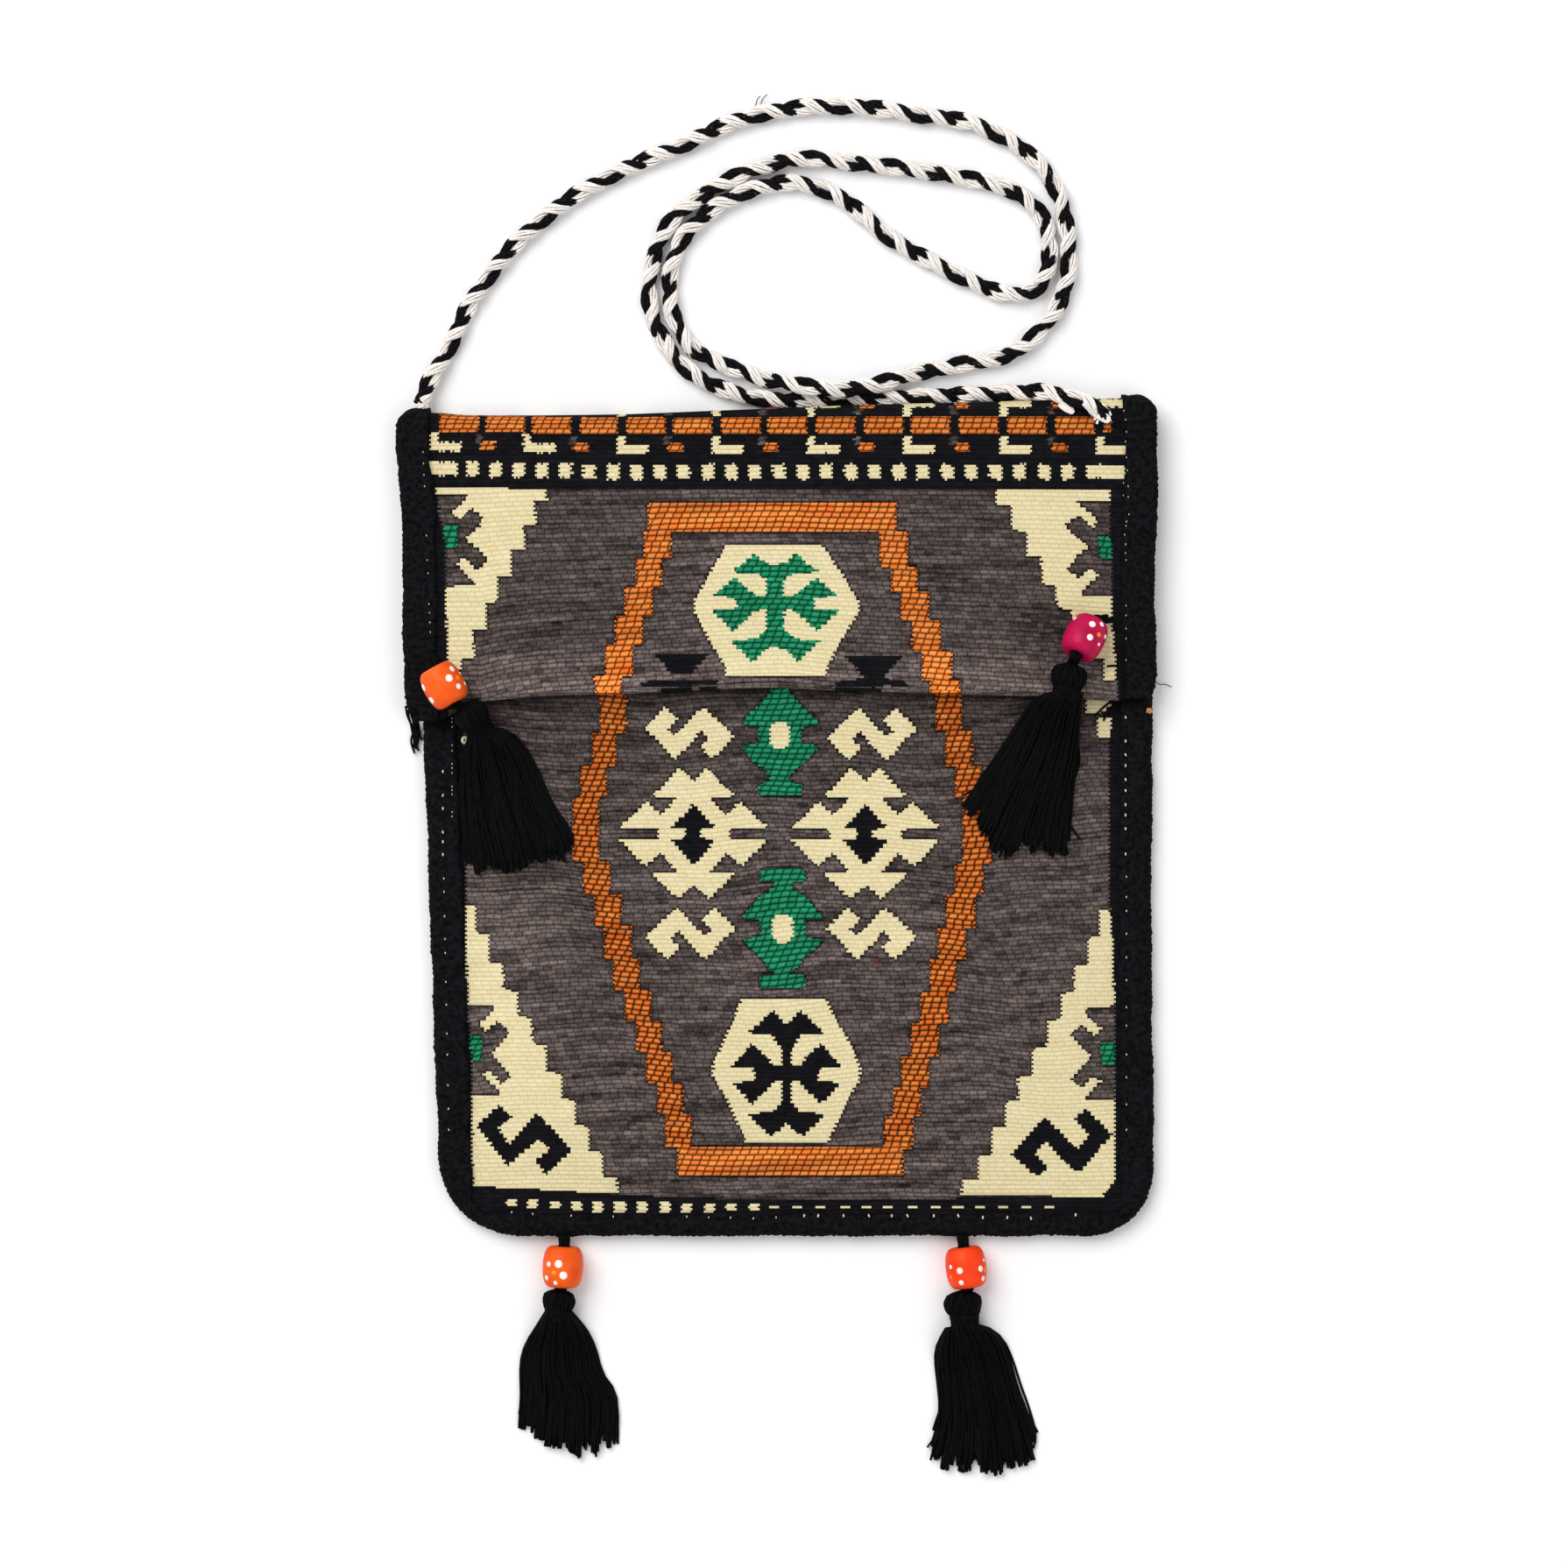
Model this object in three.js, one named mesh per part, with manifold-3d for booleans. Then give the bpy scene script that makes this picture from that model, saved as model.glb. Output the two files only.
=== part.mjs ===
// A woven shoulder bag of the kilim kind, lying on its back with its flap closed.
// One cloth makes the back, folds over the top and comes down as the flap. A front panel closes the
// pouch, a folded tape binds every raw edge, a braided strap lies looped above the bag, and four beads
// with tassels are sewn to the flap's corners and to the bottom edge.
// Millimetres, +Z up. +Y runs from the bottom of the bag to its top fold, and the floor is z = 0.
import * as THREE from "three";
import { mergeVertices } from "three/addons/utils/BufferGeometryUtils.js";
import Module from "manifold-3d";

// Driving dimensions
const CLOTH = 2; // thickness of the kilim
const GAP = 0.3; // between pieces that touch
const FLAP_GAP = 0.5; // between the flap and the middle of the front
const WELD = 1e-4; // corners closer than this are one corner
const BAG_BOTTOM = -104.1; // outer edge of the binding along the bottom
const CORNER_RADIUS = { left: 28, right: 23 };
const POUCH_RISE = 6.2; // how far the middle of the front stands above its edges
const RISE_RUN = 55; // from the binding to the full height of the pouch
const FRONT_DROP = 20; // the front panel's top edge lies this far below the fold
const BINDING_WIDTH = 11.4;
const BINDING_NOSE = 3.2; // length of the binding's rounded outer edge
const TAPE = 1.2; // thickness of the binding tape
const CLOTH_INSET = 3.4; // from the binding's outer edge to the cloth inside it
const RAMP_CLEAR = 1.5; // the front stays level for this far inside the binding
const LIFT_RUN = 10; // the back comes down to the floor over this distance
const STRAP_DIAMETER = 6;
const STRAP_SIDES = 8;
const STRAP_STEPS = 80;
const BEAD_RADIUS = 7;
const BEAD_END_RADIUS = 4.9;
const BEAD_LENGTH = 14;
const BEAD_HOLE_RADIUS = 2.6;
const BEAD_SEGMENTS = 14;
const TASSEL_CORD_RADIUS = 1.2;
const HEAD_RADIUS = 5.7;
const LOCK_RADIUS = 3;
const TASSEL_GAP = 0.9; // between a bead or tassel and the cloth it lies on, which slopes under it
const LOCKS = 7; // locks of thread in each tassel's skirt

// Heights that follow from the cloth and the tape
const WRAP = CLOTH / 2 + GAP + TAPE; // from the middle of one cloth to the outside of its binding
const BACK_LEVEL = WRAP; // middle of the back cloth where the binding holds it
const BACK_REST = CLOTH / 2; // middle of the back cloth where it lies on the floor
const FRONT_LEVEL = BACK_LEVEL + CLOTH + GAP; // middle of the front panel in the binding
const BODY_WRAP = FRONT_LEVEL - BACK_LEVEL + WRAP; // from the back cloth to the top of the binding
const BODY_TOP = BACK_LEVEL + BODY_WRAP;
const FLAP_LEVEL = BODY_TOP + GAP + WRAP; // middle of the flap where its binding holds it
const FLAP_RISE = FRONT_LEVEL + POUCH_RISE + CLOTH + FLAP_GAP - FLAP_LEVEL;

// Outer edges of the binding by height: body, then flap
const BODY_EDGES = [
  { y: -110, left: -114.6, right: 129.6 },
  { y: -70, left: -116.0, right: 129.7 },
  { y: 0, left: -118.5, right: 129.0 },
  { y: 60, left: -120.6, right: 129.3 },
  { y: 110, left: -123.2, right: 129.5 },
  { y: 150, left: -127.0, right: 129.8 },
  { y: 175, left: -130.3, right: 130.2 },
];
const FLAP_EDGES = [
  { y: 70, left: -126.6, right: 130.0 },
  { y: 97.5, left: -127.5, right: 130.4 },
  { y: 124.5, left: -127.7, right: 129.6 },
  { y: 150, left: -128.4, right: 130.9 },
  { y: 165, left: -129.8, right: 130.6 },
  { y: 175, left: -130.3, right: 130.2 },
];
// The slanting fold at the top of the cloth, and the arched lower edge of the flap
const TOP_FOLD = [
  { x: -117, y: 178.4 },
  { x: -104, y: 177.4 },
  { x: -56, y: 177.6 },
  { x: -26, y: 178.7 },
  { x: 4, y: 179.9 },
  { x: 34, y: 181.0 },
  { x: 64, y: 181.7 },
  { x: 116, y: 183.2 },
];
const FLAP_HEM = [
  { x: -118, y: 72.5 },
  { x: -98, y: 80.0 },
  { x: -47, y: 82.8 },
  { x: 0, y: 84.6 },
  { x: 20, y: 83.7 },
  { x: 88, y: 81.6 },
  { x: 118, y: 80.2 },
];

// The strap from the left end of the fold, round its loose spiral, to the flap's right corner
const STRAP_ROUTE = [
  [-121.6, 181.3, 6.2],
  [-119.9, 186.6, 5.0],
  [-112.1, 201.3, 3.1],
  [-101.6, 221.4, 3.1],
  [-82.1, 243.3, 3.1],
  [-58.7, 258.9, 3.1],
  [-34.4, 269.4, 3.1],
  [-9.8, 279.9, 3.1],
  [18.2, 283.8, 3.1],
  [47.3, 281.1, 3.1],
  [73.1, 275.7, 3.1],
  [93.0, 260.7, 3.1],
  [100.2, 240.0, 3.1],
  [98.3, 218.1, 3.1],
  [83.6, 200.4, 3.1],
  [62.3, 194.7, 3.1],
  [46.5, 191.8, 3.6],
  [34.7, 187.9, 7.4],
  [24.0, 186.3, 9.1],
  [14.0, 186.6, 9.0],
  [4.5, 188.4, 7.2],
  [-6.0, 190.7, 3.6],
  [-27.8, 200.1, 3.1],
  [-35.4, 212.0, 3.1],
  [-36.3, 225.0, 3.1],
  [-32.5, 237.6, 3.1],
  [-23.9, 246.6, 3.1],
  [-11.3, 254.0, 3.1],
  [6.0, 257.5, 3.1],
  [20.9, 253.1, 3.1],
  [40.7, 237.6, 3.1],
  [64.4, 225.0, 3.1],
  [80.9, 219.0, 3.1],
  [90.9, 222.6, 3.1],
  [94.1, 234.9, 3.1],
  [90.8, 246.6, 3.1],
  [82.1, 254.3, 3.1],
  [61.4, 259.7, 3.1],
  [34.4, 263.4, 3.1],
  [4.4, 265.2, 3.1],
  [-20.6, 255.9, 3.1],
  [-36.2, 243.6, 3.1],
  [-42.6, 229.5, 3.1],
  [-42.6, 213.0, 3.1],
  [-35.5, 198.9, 3.1],
  [-24.8, 189.6, 3.1],
  [-7.6, 183.8, 3.1],
  [14.0, 183.0, 3.1],
  [39.0, 183.5, 3.1],
  [60.0, 184.4, 3.1],
  [80.0, 185.4, 3.6],
  [90.5, 186.4, 7.6],
  [98.5, 184.9, 12.3],
  [106.5, 181.8, 15.0],
  [113.0, 177.2, 15.3],
];

// Each tassel: where its cord is sewn on, its bead and the way the bead's hole points (turned from -Y
// towards +X, then raised), the two ends of its head, and where the skirt's outer and middle locks end
const TASSELS = [
  {
    name: "flap_left",
    colour: 0xf2631c,
    sewn: [-117.6, 93.6, 14.6],
    bead: [-113.0, 84.6],
    turn: 29,
    raise: 0,
    head: [-106.4, 77.6],
    neck: [-100.4, 69.3],
    ends: { left: [-104.5, 27], middle: [-88.5, 25], right: [-72, 32] },
  },
  {
    name: "flap_right",
    colour: 0xbc1850,
    sewn: [114.2, 107.4, 13.2],
    bead: [105.2, 100.8],
    turn: -27,
    raise: 10,
    head: [100.9, 91.6],
    neck: [98.9, 81.9],
    ends: { left: [69, 49.5], middle: [83, 31.5], right: [97.5, 29.5] },
  },
  {
    name: "bottom_left",
    colour: 0xf2631c,
    sewn: [-72.3, -103.9, 5.7],
    bead: [-72.9, -114.4],
    turn: -3,
    raise: 0,
    head: [-74.4, -122.6],
    neck: [-74.9, -131],
    ends: { left: [-84.5, -166], middle: [-69.5, -176], right: [-57.5, -171.5] },
  },
  {
    name: "bottom_right",
    colour: 0xff4a1c,
    sewn: [64.2, -103.9, 5.7],
    bead: [65.2, -114.6],
    turn: 2,
    raise: 0,
    head: [64.8, -123],
    neck: [64.7, -133],
    ends: { left: [57.7, -174], middle: [70.5, -184], right: [85, -171] },
  },
];

const KILIM = finish(0x5f5655, 0.95);
const BLACK_COTTON = finish(0x0d0c10, 0.9);
const BRAID = finish(0xd8d2cb, 0.85);

function finish(colour, roughness) {
  return new THREE.MeshStandardMaterial({ color: colour, roughness, metalness: 0 });
}

const { clamp, degToRad, lerp } = THREE.MathUtils;

// A smooth curve through the rows of a table, level beyond both ends
function through(rows, place, value) {
  const slope = (i) => {
    const before = rows[Math.max(i - 1, 0)];
    const after = rows[Math.min(i + 1, rows.length - 1)];
    return (after[value] - before[value]) / (after[place] - before[place]);
  };
  return (at) => {
    const next = rows.findIndex((row) => row[place] > at);
    if (next === 0) return rows[0][value];
    if (next < 0) return rows[rows.length - 1][value];
    const [from, to] = [rows[next - 1], rows[next]];
    const run = to[place] - from[place];
    const t = (at - from[place]) / run;
    const ease = t * t * (3 - 2 * t);
    const bend = t * (1 - t) * ((1 - t) * slope(next - 1) - t * slope(next));
    return lerp(from[value], to[value], ease) + run * bend;
  };
}

const topFold = through(TOP_FOLD, "x", "y");
const flapHem = through(FLAP_HEM, "x", "y");
const bodyEdge = { left: through(BODY_EDGES, "y", "left"), right: through(BODY_EDGES, "y", "right") };
const flapEdge = { left: through(FLAP_EDGES, "y", "left"), right: through(FLAP_EDGES, "y", "right") };
const INWARD = { left: 1, right: -1 };

// Centre of a rounded bottom corner
function cornerCentre(side) {
  const y = BAG_BOTTOM + CORNER_RADIUS[side];
  return { x: bodyEdge[side](y) + INWARD[side] * CORNER_RADIUS[side], y };
}

// The body's edge at a height, a distance in from the binding's outer edge
function bodySide(side, y, inset) {
  const centre = cornerCentre(side);
  if (y >= centre.y) return bodyEdge[side](y) + INWARD[side] * inset;
  const radius = CORNER_RADIUS[side] - inset;
  const drop = centre.y - y;
  return centre.x - INWARD[side] * Math.sqrt(Math.max(radius * radius - drop * drop, 0));
}

// Distance of a point inside the inner edge of the body's binding
function insideBinding(x, y) {
  const inset = BINDING_WIDTH + RAMP_CLEAR;
  return {
    left: x - bodySide("left", y, inset),
    right: bodySide("right", y, inset) - x,
    bottom: y - BAG_BOTTOM - inset,
  };
}

// How far the pouch has swollen at a point, from 0 at the binding to 1
function swell(x, y) {
  const ramp = (distance) => 1 - (1 - clamp(distance / RISE_RUN, 0, 1)) ** 2;
  const { left, right, bottom } = insideBinding(x, y);
  return ramp(left) * ramp(right) * ramp(bottom);
}

// Heights of the middle of each cloth
function backLevel(x, y) {
  const { left, right, bottom } = insideBinding(x, y);
  const down = clamp(Math.min(left, right, bottom) / LIFT_RUN, 0, 1);
  return lerp(BACK_LEVEL, BACK_REST, down);
}
const frontLevel = (x, y) => FRONT_LEVEL + POUCH_RISE * swell(x, y);
const flapLevel = (x, y) => FLAP_LEVEL + FLAP_RISE * swell(x, y);

// Top of whatever lies at a point: the flap, the front, their bindings, or the floor
function topAt(x, y) {
  const reach = (edges) => Math.min(x - edges.left(y), edges.right(y) - x);
  if (y > flapHem(x) && y < topFold(x) && reach(flapEdge) > 0) {
    return reach(flapEdge) < BINDING_WIDTH ? FLAP_LEVEL + WRAP : flapLevel(x, y) + CLOTH / 2;
  }
  const inBody = Math.min(x - bodySide("left", y, 0), bodySide("right", y, 0) - x);
  if (y < BAG_BOTTOM || y > topFold(x) || inBody < 0) return 0;
  const bound = Math.min(inBody, y - BAG_BOTTOM) < BINDING_WIDTH;
  return bound ? BODY_TOP : frontLevel(x, y) + CLOTH / 2;
}

// Height of the centre of a round piece that rests at a point on what lies under it
function restingHeight(x, y, radius, gap = GAP) {
  const SAMPLES = 4;
  let height = radius;
  for (let i = -SAMPLES; i <= SAMPLES; i++) {
    for (let j = -SAMPLES; j <= SAMPLES; j++) {
      const [dx, dy] = [(i / SAMPLES) * radius, (j / SAMPLES) * radius];
      const under = radius * radius - dx * dx - dy * dy;
      const top = topAt(x + dx, y + dy);
      if (under >= 0 && top > 0) height = Math.max(height, top + Math.sqrt(under) + gap);
    }
  }
  return height;
}

// A wall of cloth: a box whose points are moved to place(across, along, out), three shares from 0 to 1
function clothWall(acrossSteps, alongSteps, place) {
  const wall = new THREE.BoxGeometry(1, 1, 1, acrossSteps, alongSteps, 1);
  const points = wall.getAttribute("position");
  for (let i = 0; i < points.count; i++) {
    const at = place(points.getX(i) + 0.5, points.getY(i) + 0.5, points.getZ(i) + 0.5);
    points.setXYZ(i, at.x, at.y, at.z);
  }
  wall.computeVertexNormals();
  return wall;
}

// Columns of cloth stand closer together towards the sides
const sideways = (share) => (1 - Math.cos(Math.PI * share)) / 2;

// Heights of the cloth's rows through a rounded bottom corner, from the bottom edge up
function cornerRows() {
  const STEPS = 6;
  const radius = CORNER_RADIUS.left - CLOTH_INSET;
  const centre = BAG_BOTTOM + CORNER_RADIUS.left;
  return Array.from({ length: STEPS + 1 }, (_, i) => centre - radius * Math.cos((i / STEPS) * Math.PI * 0.5));
}

// A share of the way along a list of rows, as a row's number
const rowNumber = (share, rows) => Math.round(share * (rows.length - 1));

// The cloth of the back, up to the fold, over it, and down to the flap's hem
function backAndFlap() {
  const [BACK_STEPS, FOLD_STEPS, FLAP_STEPS, COLUMNS] = [10, 8, 9, 16];
  const low = cornerRows();
  const rows = [
    ...low.map((y) => ({ run: "corner", y })),
    ...Array.from({ length: BACK_STEPS }, (_, i) => ({ run: "back", share: (i + 1) / BACK_STEPS })),
    ...Array.from({ length: FOLD_STEPS }, (_, i) => ({ run: "fold", share: (i + 1) / FOLD_STEPS })),
    ...Array.from({ length: FLAP_STEPS }, (_, i) => ({ run: "flap", share: (i + 1) / FLAP_STEPS })),
  ];
  // The fold's centre line at a column: a half circle from the back's height to the flap's
  const foldAt = (x) => {
    const top = topFold(x);
    const [from, to] = [backLevel(x, top), flapLevel(x, top)];
    const radius = (to - from) / 2;
    return { y: top - CLOTH / 2 - radius, z: from + radius, radius };
  };
  return clothWall(COLUMNS, rows.length - 1, (across, along, out) => {
    const row = rows[rowNumber(along, rows)];
    const column = sideways(across);
    const offset = (out - 0.5) * CLOTH;
    const between = (edge, y) => lerp(edge("left", y), edge("right", y), column);
    const onBody = (side, y) => bodySide(side, y, CLOTH_INSET);
    const onFlap = (side, y) => flapEdge[side](y) + INWARD[side] * CLOTH_INSET;
    const level = topFold(0);
    if (row.run === "corner") {
      const x = between(onBody, row.y);
      return new THREE.Vector3(x, row.y, backLevel(x, row.y) + offset);
    }
    const atFold = between(onFlap, level);
    const fold = foldAt(atFold);
    if (row.run === "back") {
      const y = lerp(low[low.length - 1], fold.y, row.share);
      const x = between(onBody, y);
      return new THREE.Vector3(x, y, backLevel(x, y) + offset);
    }
    if (row.run === "fold") {
      const angle = Math.PI * row.share;
      const radius = fold.radius - offset;
      return new THREE.Vector3(atFold, fold.y + radius * Math.sin(angle), fold.z - radius * Math.cos(angle));
    }
    const y = lerp(fold.y, flapHem(atFold), row.share);
    const x = between(onFlap, y);
    return new THREE.Vector3(x, y, flapLevel(x, y) - offset);
  });
}

// The front of the pouch, held by the binding at its sides and bottom and free at its top edge
function frontPanel() {
  const [STEPS, COLUMNS] = [11, 16];
  const low = cornerRows();
  const upper = Array.from({ length: STEPS }, (_, i) => (i + 1) / STEPS);
  const rows = [...low.map((y) => ({ y })), ...upper.map((share) => ({ share }))];
  return clothWall(COLUMNS, rows.length - 1, (across, along, out) => {
    const row = rows[rowNumber(along, rows)];
    const column = sideways(across);
    const atSide = (y) => lerp(bodySide("left", y, CLOTH_INSET), bodySide("right", y, CLOTH_INSET), column);
    const topEdge = topFold(atSide(topFold(0))) - FRONT_DROP;
    const y = row.y ?? lerp(low[low.length - 1], topEdge, row.share);
    const x = atSide(y);
    return new THREE.Vector3(x, y, frontLevel(x, y) + (out - 0.5) * CLOTH);
  });
}

// One side of the binding's route, from the flap's hem over the fold and down to the bottom edge.
// Each stop is a point on the cloth's middle at the outer edge, the ways inward and to the inside of
// the bag, and how far the binding wraps on the inside.
function bindingSide(side) {
  const [FLAP_STEPS, FOLD_STEPS, BODY_STEPS, CORNER_STEPS] = [6, 8, 9, 6];
  const [THICK_END, THIN_START] = [4, 10]; // the wrap thins over this stretch above the front's edge
  const inward = new THREE.Vector3(INWARD[side], 0, 0);
  const up = new THREE.Vector3(0, 0, 1);
  const radius = (FLAP_LEVEL - BACK_LEVEL) / 2;
  const top = topFold(flapEdge[side](topFold(0)));
  const foldY = top - CLOTH / 2 - radius;
  const foldZ = BACK_LEVEL + radius;
  const stops = [];
  const hem = flapHem(flapEdge[side](topFold(0)));
  for (let i = 0; i < FLAP_STEPS; i++) {
    const y = lerp(hem, foldY, i / FLAP_STEPS);
    const point = new THREE.Vector3(flapEdge[side](y), y, FLAP_LEVEL);
    stops.push({ point, inward, inside: up.clone().negate(), wrap: WRAP });
  }
  for (let i = 0; i <= FOLD_STEPS; i++) {
    const angle = (i / FOLD_STEPS) * Math.PI;
    const outside = new THREE.Vector3(0, Math.sin(angle), Math.cos(angle));
    const centre = new THREE.Vector3(flapEdge[side](foldY), foldY, foldZ);
    const point = centre.addScaledVector(outside, radius);
    stops.push({ point, inward, inside: outside.clone().negate(), wrap: WRAP });
  }
  const frontTop = top - FRONT_DROP;
  const corner = cornerCentre(side);
  const heights = [frontTop + THIN_START, frontTop + THICK_END];
  for (let i = 1; i < BODY_STEPS; i++) {
    heights.push(lerp(frontTop + THICK_END, corner.y, i / BODY_STEPS));
  }
  heights.forEach((y, i) => {
    const point = new THREE.Vector3(bodyEdge[side](y), y, BACK_LEVEL);
    stops.push({ point, inward, inside: up, wrap: i === 0 ? WRAP : BODY_WRAP });
  });
  for (let i = 0; i <= CORNER_STEPS; i++) {
    const angle = (i / CORNER_STEPS) * Math.PI * 0.5;
    const toCentre = new THREE.Vector3(INWARD[side] * Math.cos(angle), Math.sin(angle), 0);
    const point = new THREE.Vector3(corner.x, corner.y, BACK_LEVEL);
    point.addScaledVector(toCentre, -CORNER_RADIUS[side]);
    stops.push({ point, inward: toCentre, inside: up, wrap: BODY_WRAP });
  }
  return stops;
}

// The binding: a tape folded round the edges of the cloth, all the way round in one length
function edgeBinding() {
  const NOSE_STEPS = 4;
  const ACROSS = NOSE_STEPS + 2;
  const stops = [...bindingSide("left"), ...bindingSide("right").reverse()];
  return clothWall(ACROSS, stops.length - 1, (across, along, out) => {
    const { point, inward, inside, wrap } = stops[rowNumber(along, stops)];
    const shrink = TAPE * (1 - out);
    const [half, middle] = [(wrap + WRAP) / 2, (wrap - WRAP) / 2];
    const step = Math.round(across * ACROSS);
    const turn = clamp((step - 1) / NOSE_STEPS, 0, 1);
    const angle = (0.5 - turn) * Math.PI;
    const lip = step === 0 || step === ACROSS;
    const depth = lip ? BINDING_WIDTH : BINDING_NOSE - (BINDING_NOSE - shrink) * Math.cos(angle);
    const height = middle + (half - shrink) * Math.sin(angle);
    return point.clone().addScaledVector(inward, depth).addScaledVector(inside, height);
  });
}

// A tube along a curve
function tubeAlong(curve, radius, sides, steps) {
  const section = new THREE.Shape();
  for (let i = 0; i < sides; i++) {
    const angle = (i / sides) * Math.PI * 2;
    const corner = new THREE.Vector2(Math.cos(angle), Math.sin(angle)).multiplyScalar(radius);
    if (i === 0) section.moveTo(corner.x, corner.y);
    else section.lineTo(corner.x, corner.y);
  }
  section.closePath();
  return new THREE.ExtrudeGeometry(section, { steps, extrudePath: curve, bevelEnabled: false });
}

function curveThrough(points) {
  return new THREE.CatmullRomCurve3(points, false, "centripetal");
}

function strap() {
  const curve = curveThrough(STRAP_ROUTE.map((point) => new THREE.Vector3(...point)));
  return tubeAlong(curve, STRAP_DIAMETER / 2, STRAP_SIDES, STRAP_STEPS);
}

// The way a tassel's bead points, from the sewn end to the tassel's head
function beadWay({ turn, raise }) {
  const level = Math.cos(degToRad(raise));
  const angle = degToRad(turn);
  return new THREE.Vector3(level * Math.sin(angle), -level * Math.cos(angle), Math.sin(degToRad(raise)));
}

function beadCentre({ bead: [x, y] }) {
  return new THREE.Vector3(x, y, restingHeight(x, y, BEAD_RADIUS, TASSEL_GAP));
}

// A barrel bead with a round hole, made upright and then turned to lie along its cord
function barrelBead(tassel) {
  const STEPS = 6;
  const half = BEAD_LENGTH / 2;
  const profile = [new THREE.Vector2(BEAD_HOLE_RADIUS, -half)];
  for (let i = 0; i <= STEPS; i++) {
    const height = lerp(-half, half, i / STEPS);
    const bulge = 1 - (height / half) ** 2;
    profile.push(new THREE.Vector2(lerp(BEAD_END_RADIUS, BEAD_RADIUS, Math.sqrt(bulge)), height));
  }
  profile.push(new THREE.Vector2(BEAD_HOLE_RADIUS, half), new THREE.Vector2(BEAD_HOLE_RADIUS, -half));
  const bead = new THREE.LatheGeometry(profile, BEAD_SEGMENTS);
  const turned = new THREE.Quaternion().setFromUnitVectors(new THREE.Vector3(0, 1, 0), beadWay(tassel));
  const centre = beadCentre(tassel);
  return bead.applyQuaternion(turned).translate(centre.x, centre.y, centre.z);
}

// The two ends of a tassel's head, resting on what lies under them
function headEnds(tassel) {
  const rest = ([x, y]) => new THREE.Vector3(x, y, restingHeight(x, y, HEAD_RADIUS, TASSEL_GAP));
  return { from: rest(tassel.head), to: rest(tassel.neck) };
}

// The short cord from where a tassel is sewn on, through its bead, to its head
function tasselCord(tassel) {
  const [SIDES, STEPS] = [6, 14];
  const centre = beadCentre(tassel);
  const reach = beadWay(tassel).multiplyScalar(BEAD_LENGTH / 2);
  const { from, to } = headEnds(tassel);
  const slant = 0.9; // the cord comes to the head at a slant, so its middle stops this far off
  const stop = from.clone().addScaledVector(from.clone().sub(to).normalize(), GAP + slant);
  const points = [
    new THREE.Vector3(...tassel.sewn),
    centre.clone().sub(reach),
    centre,
    centre.clone().add(reach),
    stop,
  ];
  return tubeAlong(curveThrough(points), TASSEL_CORD_RADIUS, SIDES, STEPS);
}

// The bound knob at the top of a tassel
function tasselHead(tassel) {
  const SEGMENTS = 10;
  // shares of the head's radius and of its length
  const outline = [
    [0, 0],
    [0.5, 0],
    [0.85, 0.14],
    [1, 0.4],
    [0.9, 0.72],
    [0.98, 1],
    [0, 1.15],
  ];
  const { from, to } = headEnds(tassel);
  const length = from.distanceTo(to);
  const profile = outline.map(([radius, along]) => new THREE.Vector2(radius * HEAD_RADIUS, along * length));
  const way = to.clone().sub(from).normalize();
  const turned = new THREE.Quaternion().setFromUnitVectors(new THREE.Vector3(0, 1, 0), way);
  const head = new THREE.LatheGeometry(profile, SEGMENTS);
  return head.applyQuaternion(turned).translate(from.x, from.y, from.z);
}

// One lock of the skirt, by its share of the way from the left end of the fan to the right
function tasselLock(tassel, share, number) {
  const [SIDES, STEPS] = [6, 5];
  const SHORTER = 3; // every second lock ends this much sooner
  const stations = [
    { along: 0, spread: 0 },
    { along: 0.3, spread: 0.42 },
    { along: 0.6, spread: 0.74 },
    { along: 1, spread: 1 },
  ];
  const { left, middle, right } = tassel.ends;
  const corner = (i) => 2 * middle[i] - (left[i] + right[i]) / 2;
  const end = [0, 1].map((i) => {
    const [toMiddle, fromMiddle] = [lerp(left[i], corner(i), share), lerp(corner(i), right[i], share)];
    return lerp(toMiddle, fromMiddle, share);
  });
  const { to } = headEnds(tassel);
  const neck = new THREE.Vector2(to.x, to.y);
  const way = new THREE.Vector2(...middle).sub(neck);
  const reach = new THREE.Vector2(...end).sub(neck);
  const unit = way.clone().normalize();
  const ahead = reach.dot(unit) - (number % 2) * SHORTER;
  const aside = reach.cross(unit);
  const points = stations.map(({ along, spread }) => {
    const x = neck.x + unit.x * ahead * along + unit.y * aside * spread;
    const y = neck.y + unit.y * ahead * along - unit.x * aside * spread;
    const rest = restingHeight(x, y, LOCK_RADIUS, TASSEL_GAP);
    return new THREE.Vector3(x, y, along === 0 ? Math.max(rest, to.z - HEAD_RADIUS / 2) : rest);
  });
  return tubeAlong(curveThrough(points), LOCK_RADIUS, SIDES, STEPS);
}

const wasm = await Module();
wasm.setup();

function solidOf(geometry) {
  const bare = geometry.clone();
  bare.deleteAttribute("normal");
  bare.deleteAttribute("uv");
  const merged = mergeVertices(bare, WELD);
  const vertProperties = merged.getAttribute("position").array;
  const triVerts = new Uint32Array(merged.index.array);
  return new wasm.Manifold(new wasm.Mesh({ numProp: 3, vertProperties, triVerts }));
}

// Pieces joined into one
function fused(geometries) {
  const { vertProperties, triVerts } = geometries
    .map(solidOf)
    .reduce((joined, next) => joined.add(next))
    .getMesh();
  const geometry = new THREE.BufferGeometry();
  geometry.setAttribute("position", new THREE.BufferAttribute(vertProperties, 3));
  geometry.setIndex(new THREE.BufferAttribute(triVerts, 1));
  geometry.computeVertexNormals();
  return geometry;
}

function tasselSolid(tassel) {
  const locks = Array.from({ length: LOCKS }, (_, i) => tasselLock(tassel, i / (LOCKS - 1), i));
  return fused([tasselHead(tassel), ...locks]);
}

const bag = new THREE.Group();

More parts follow.
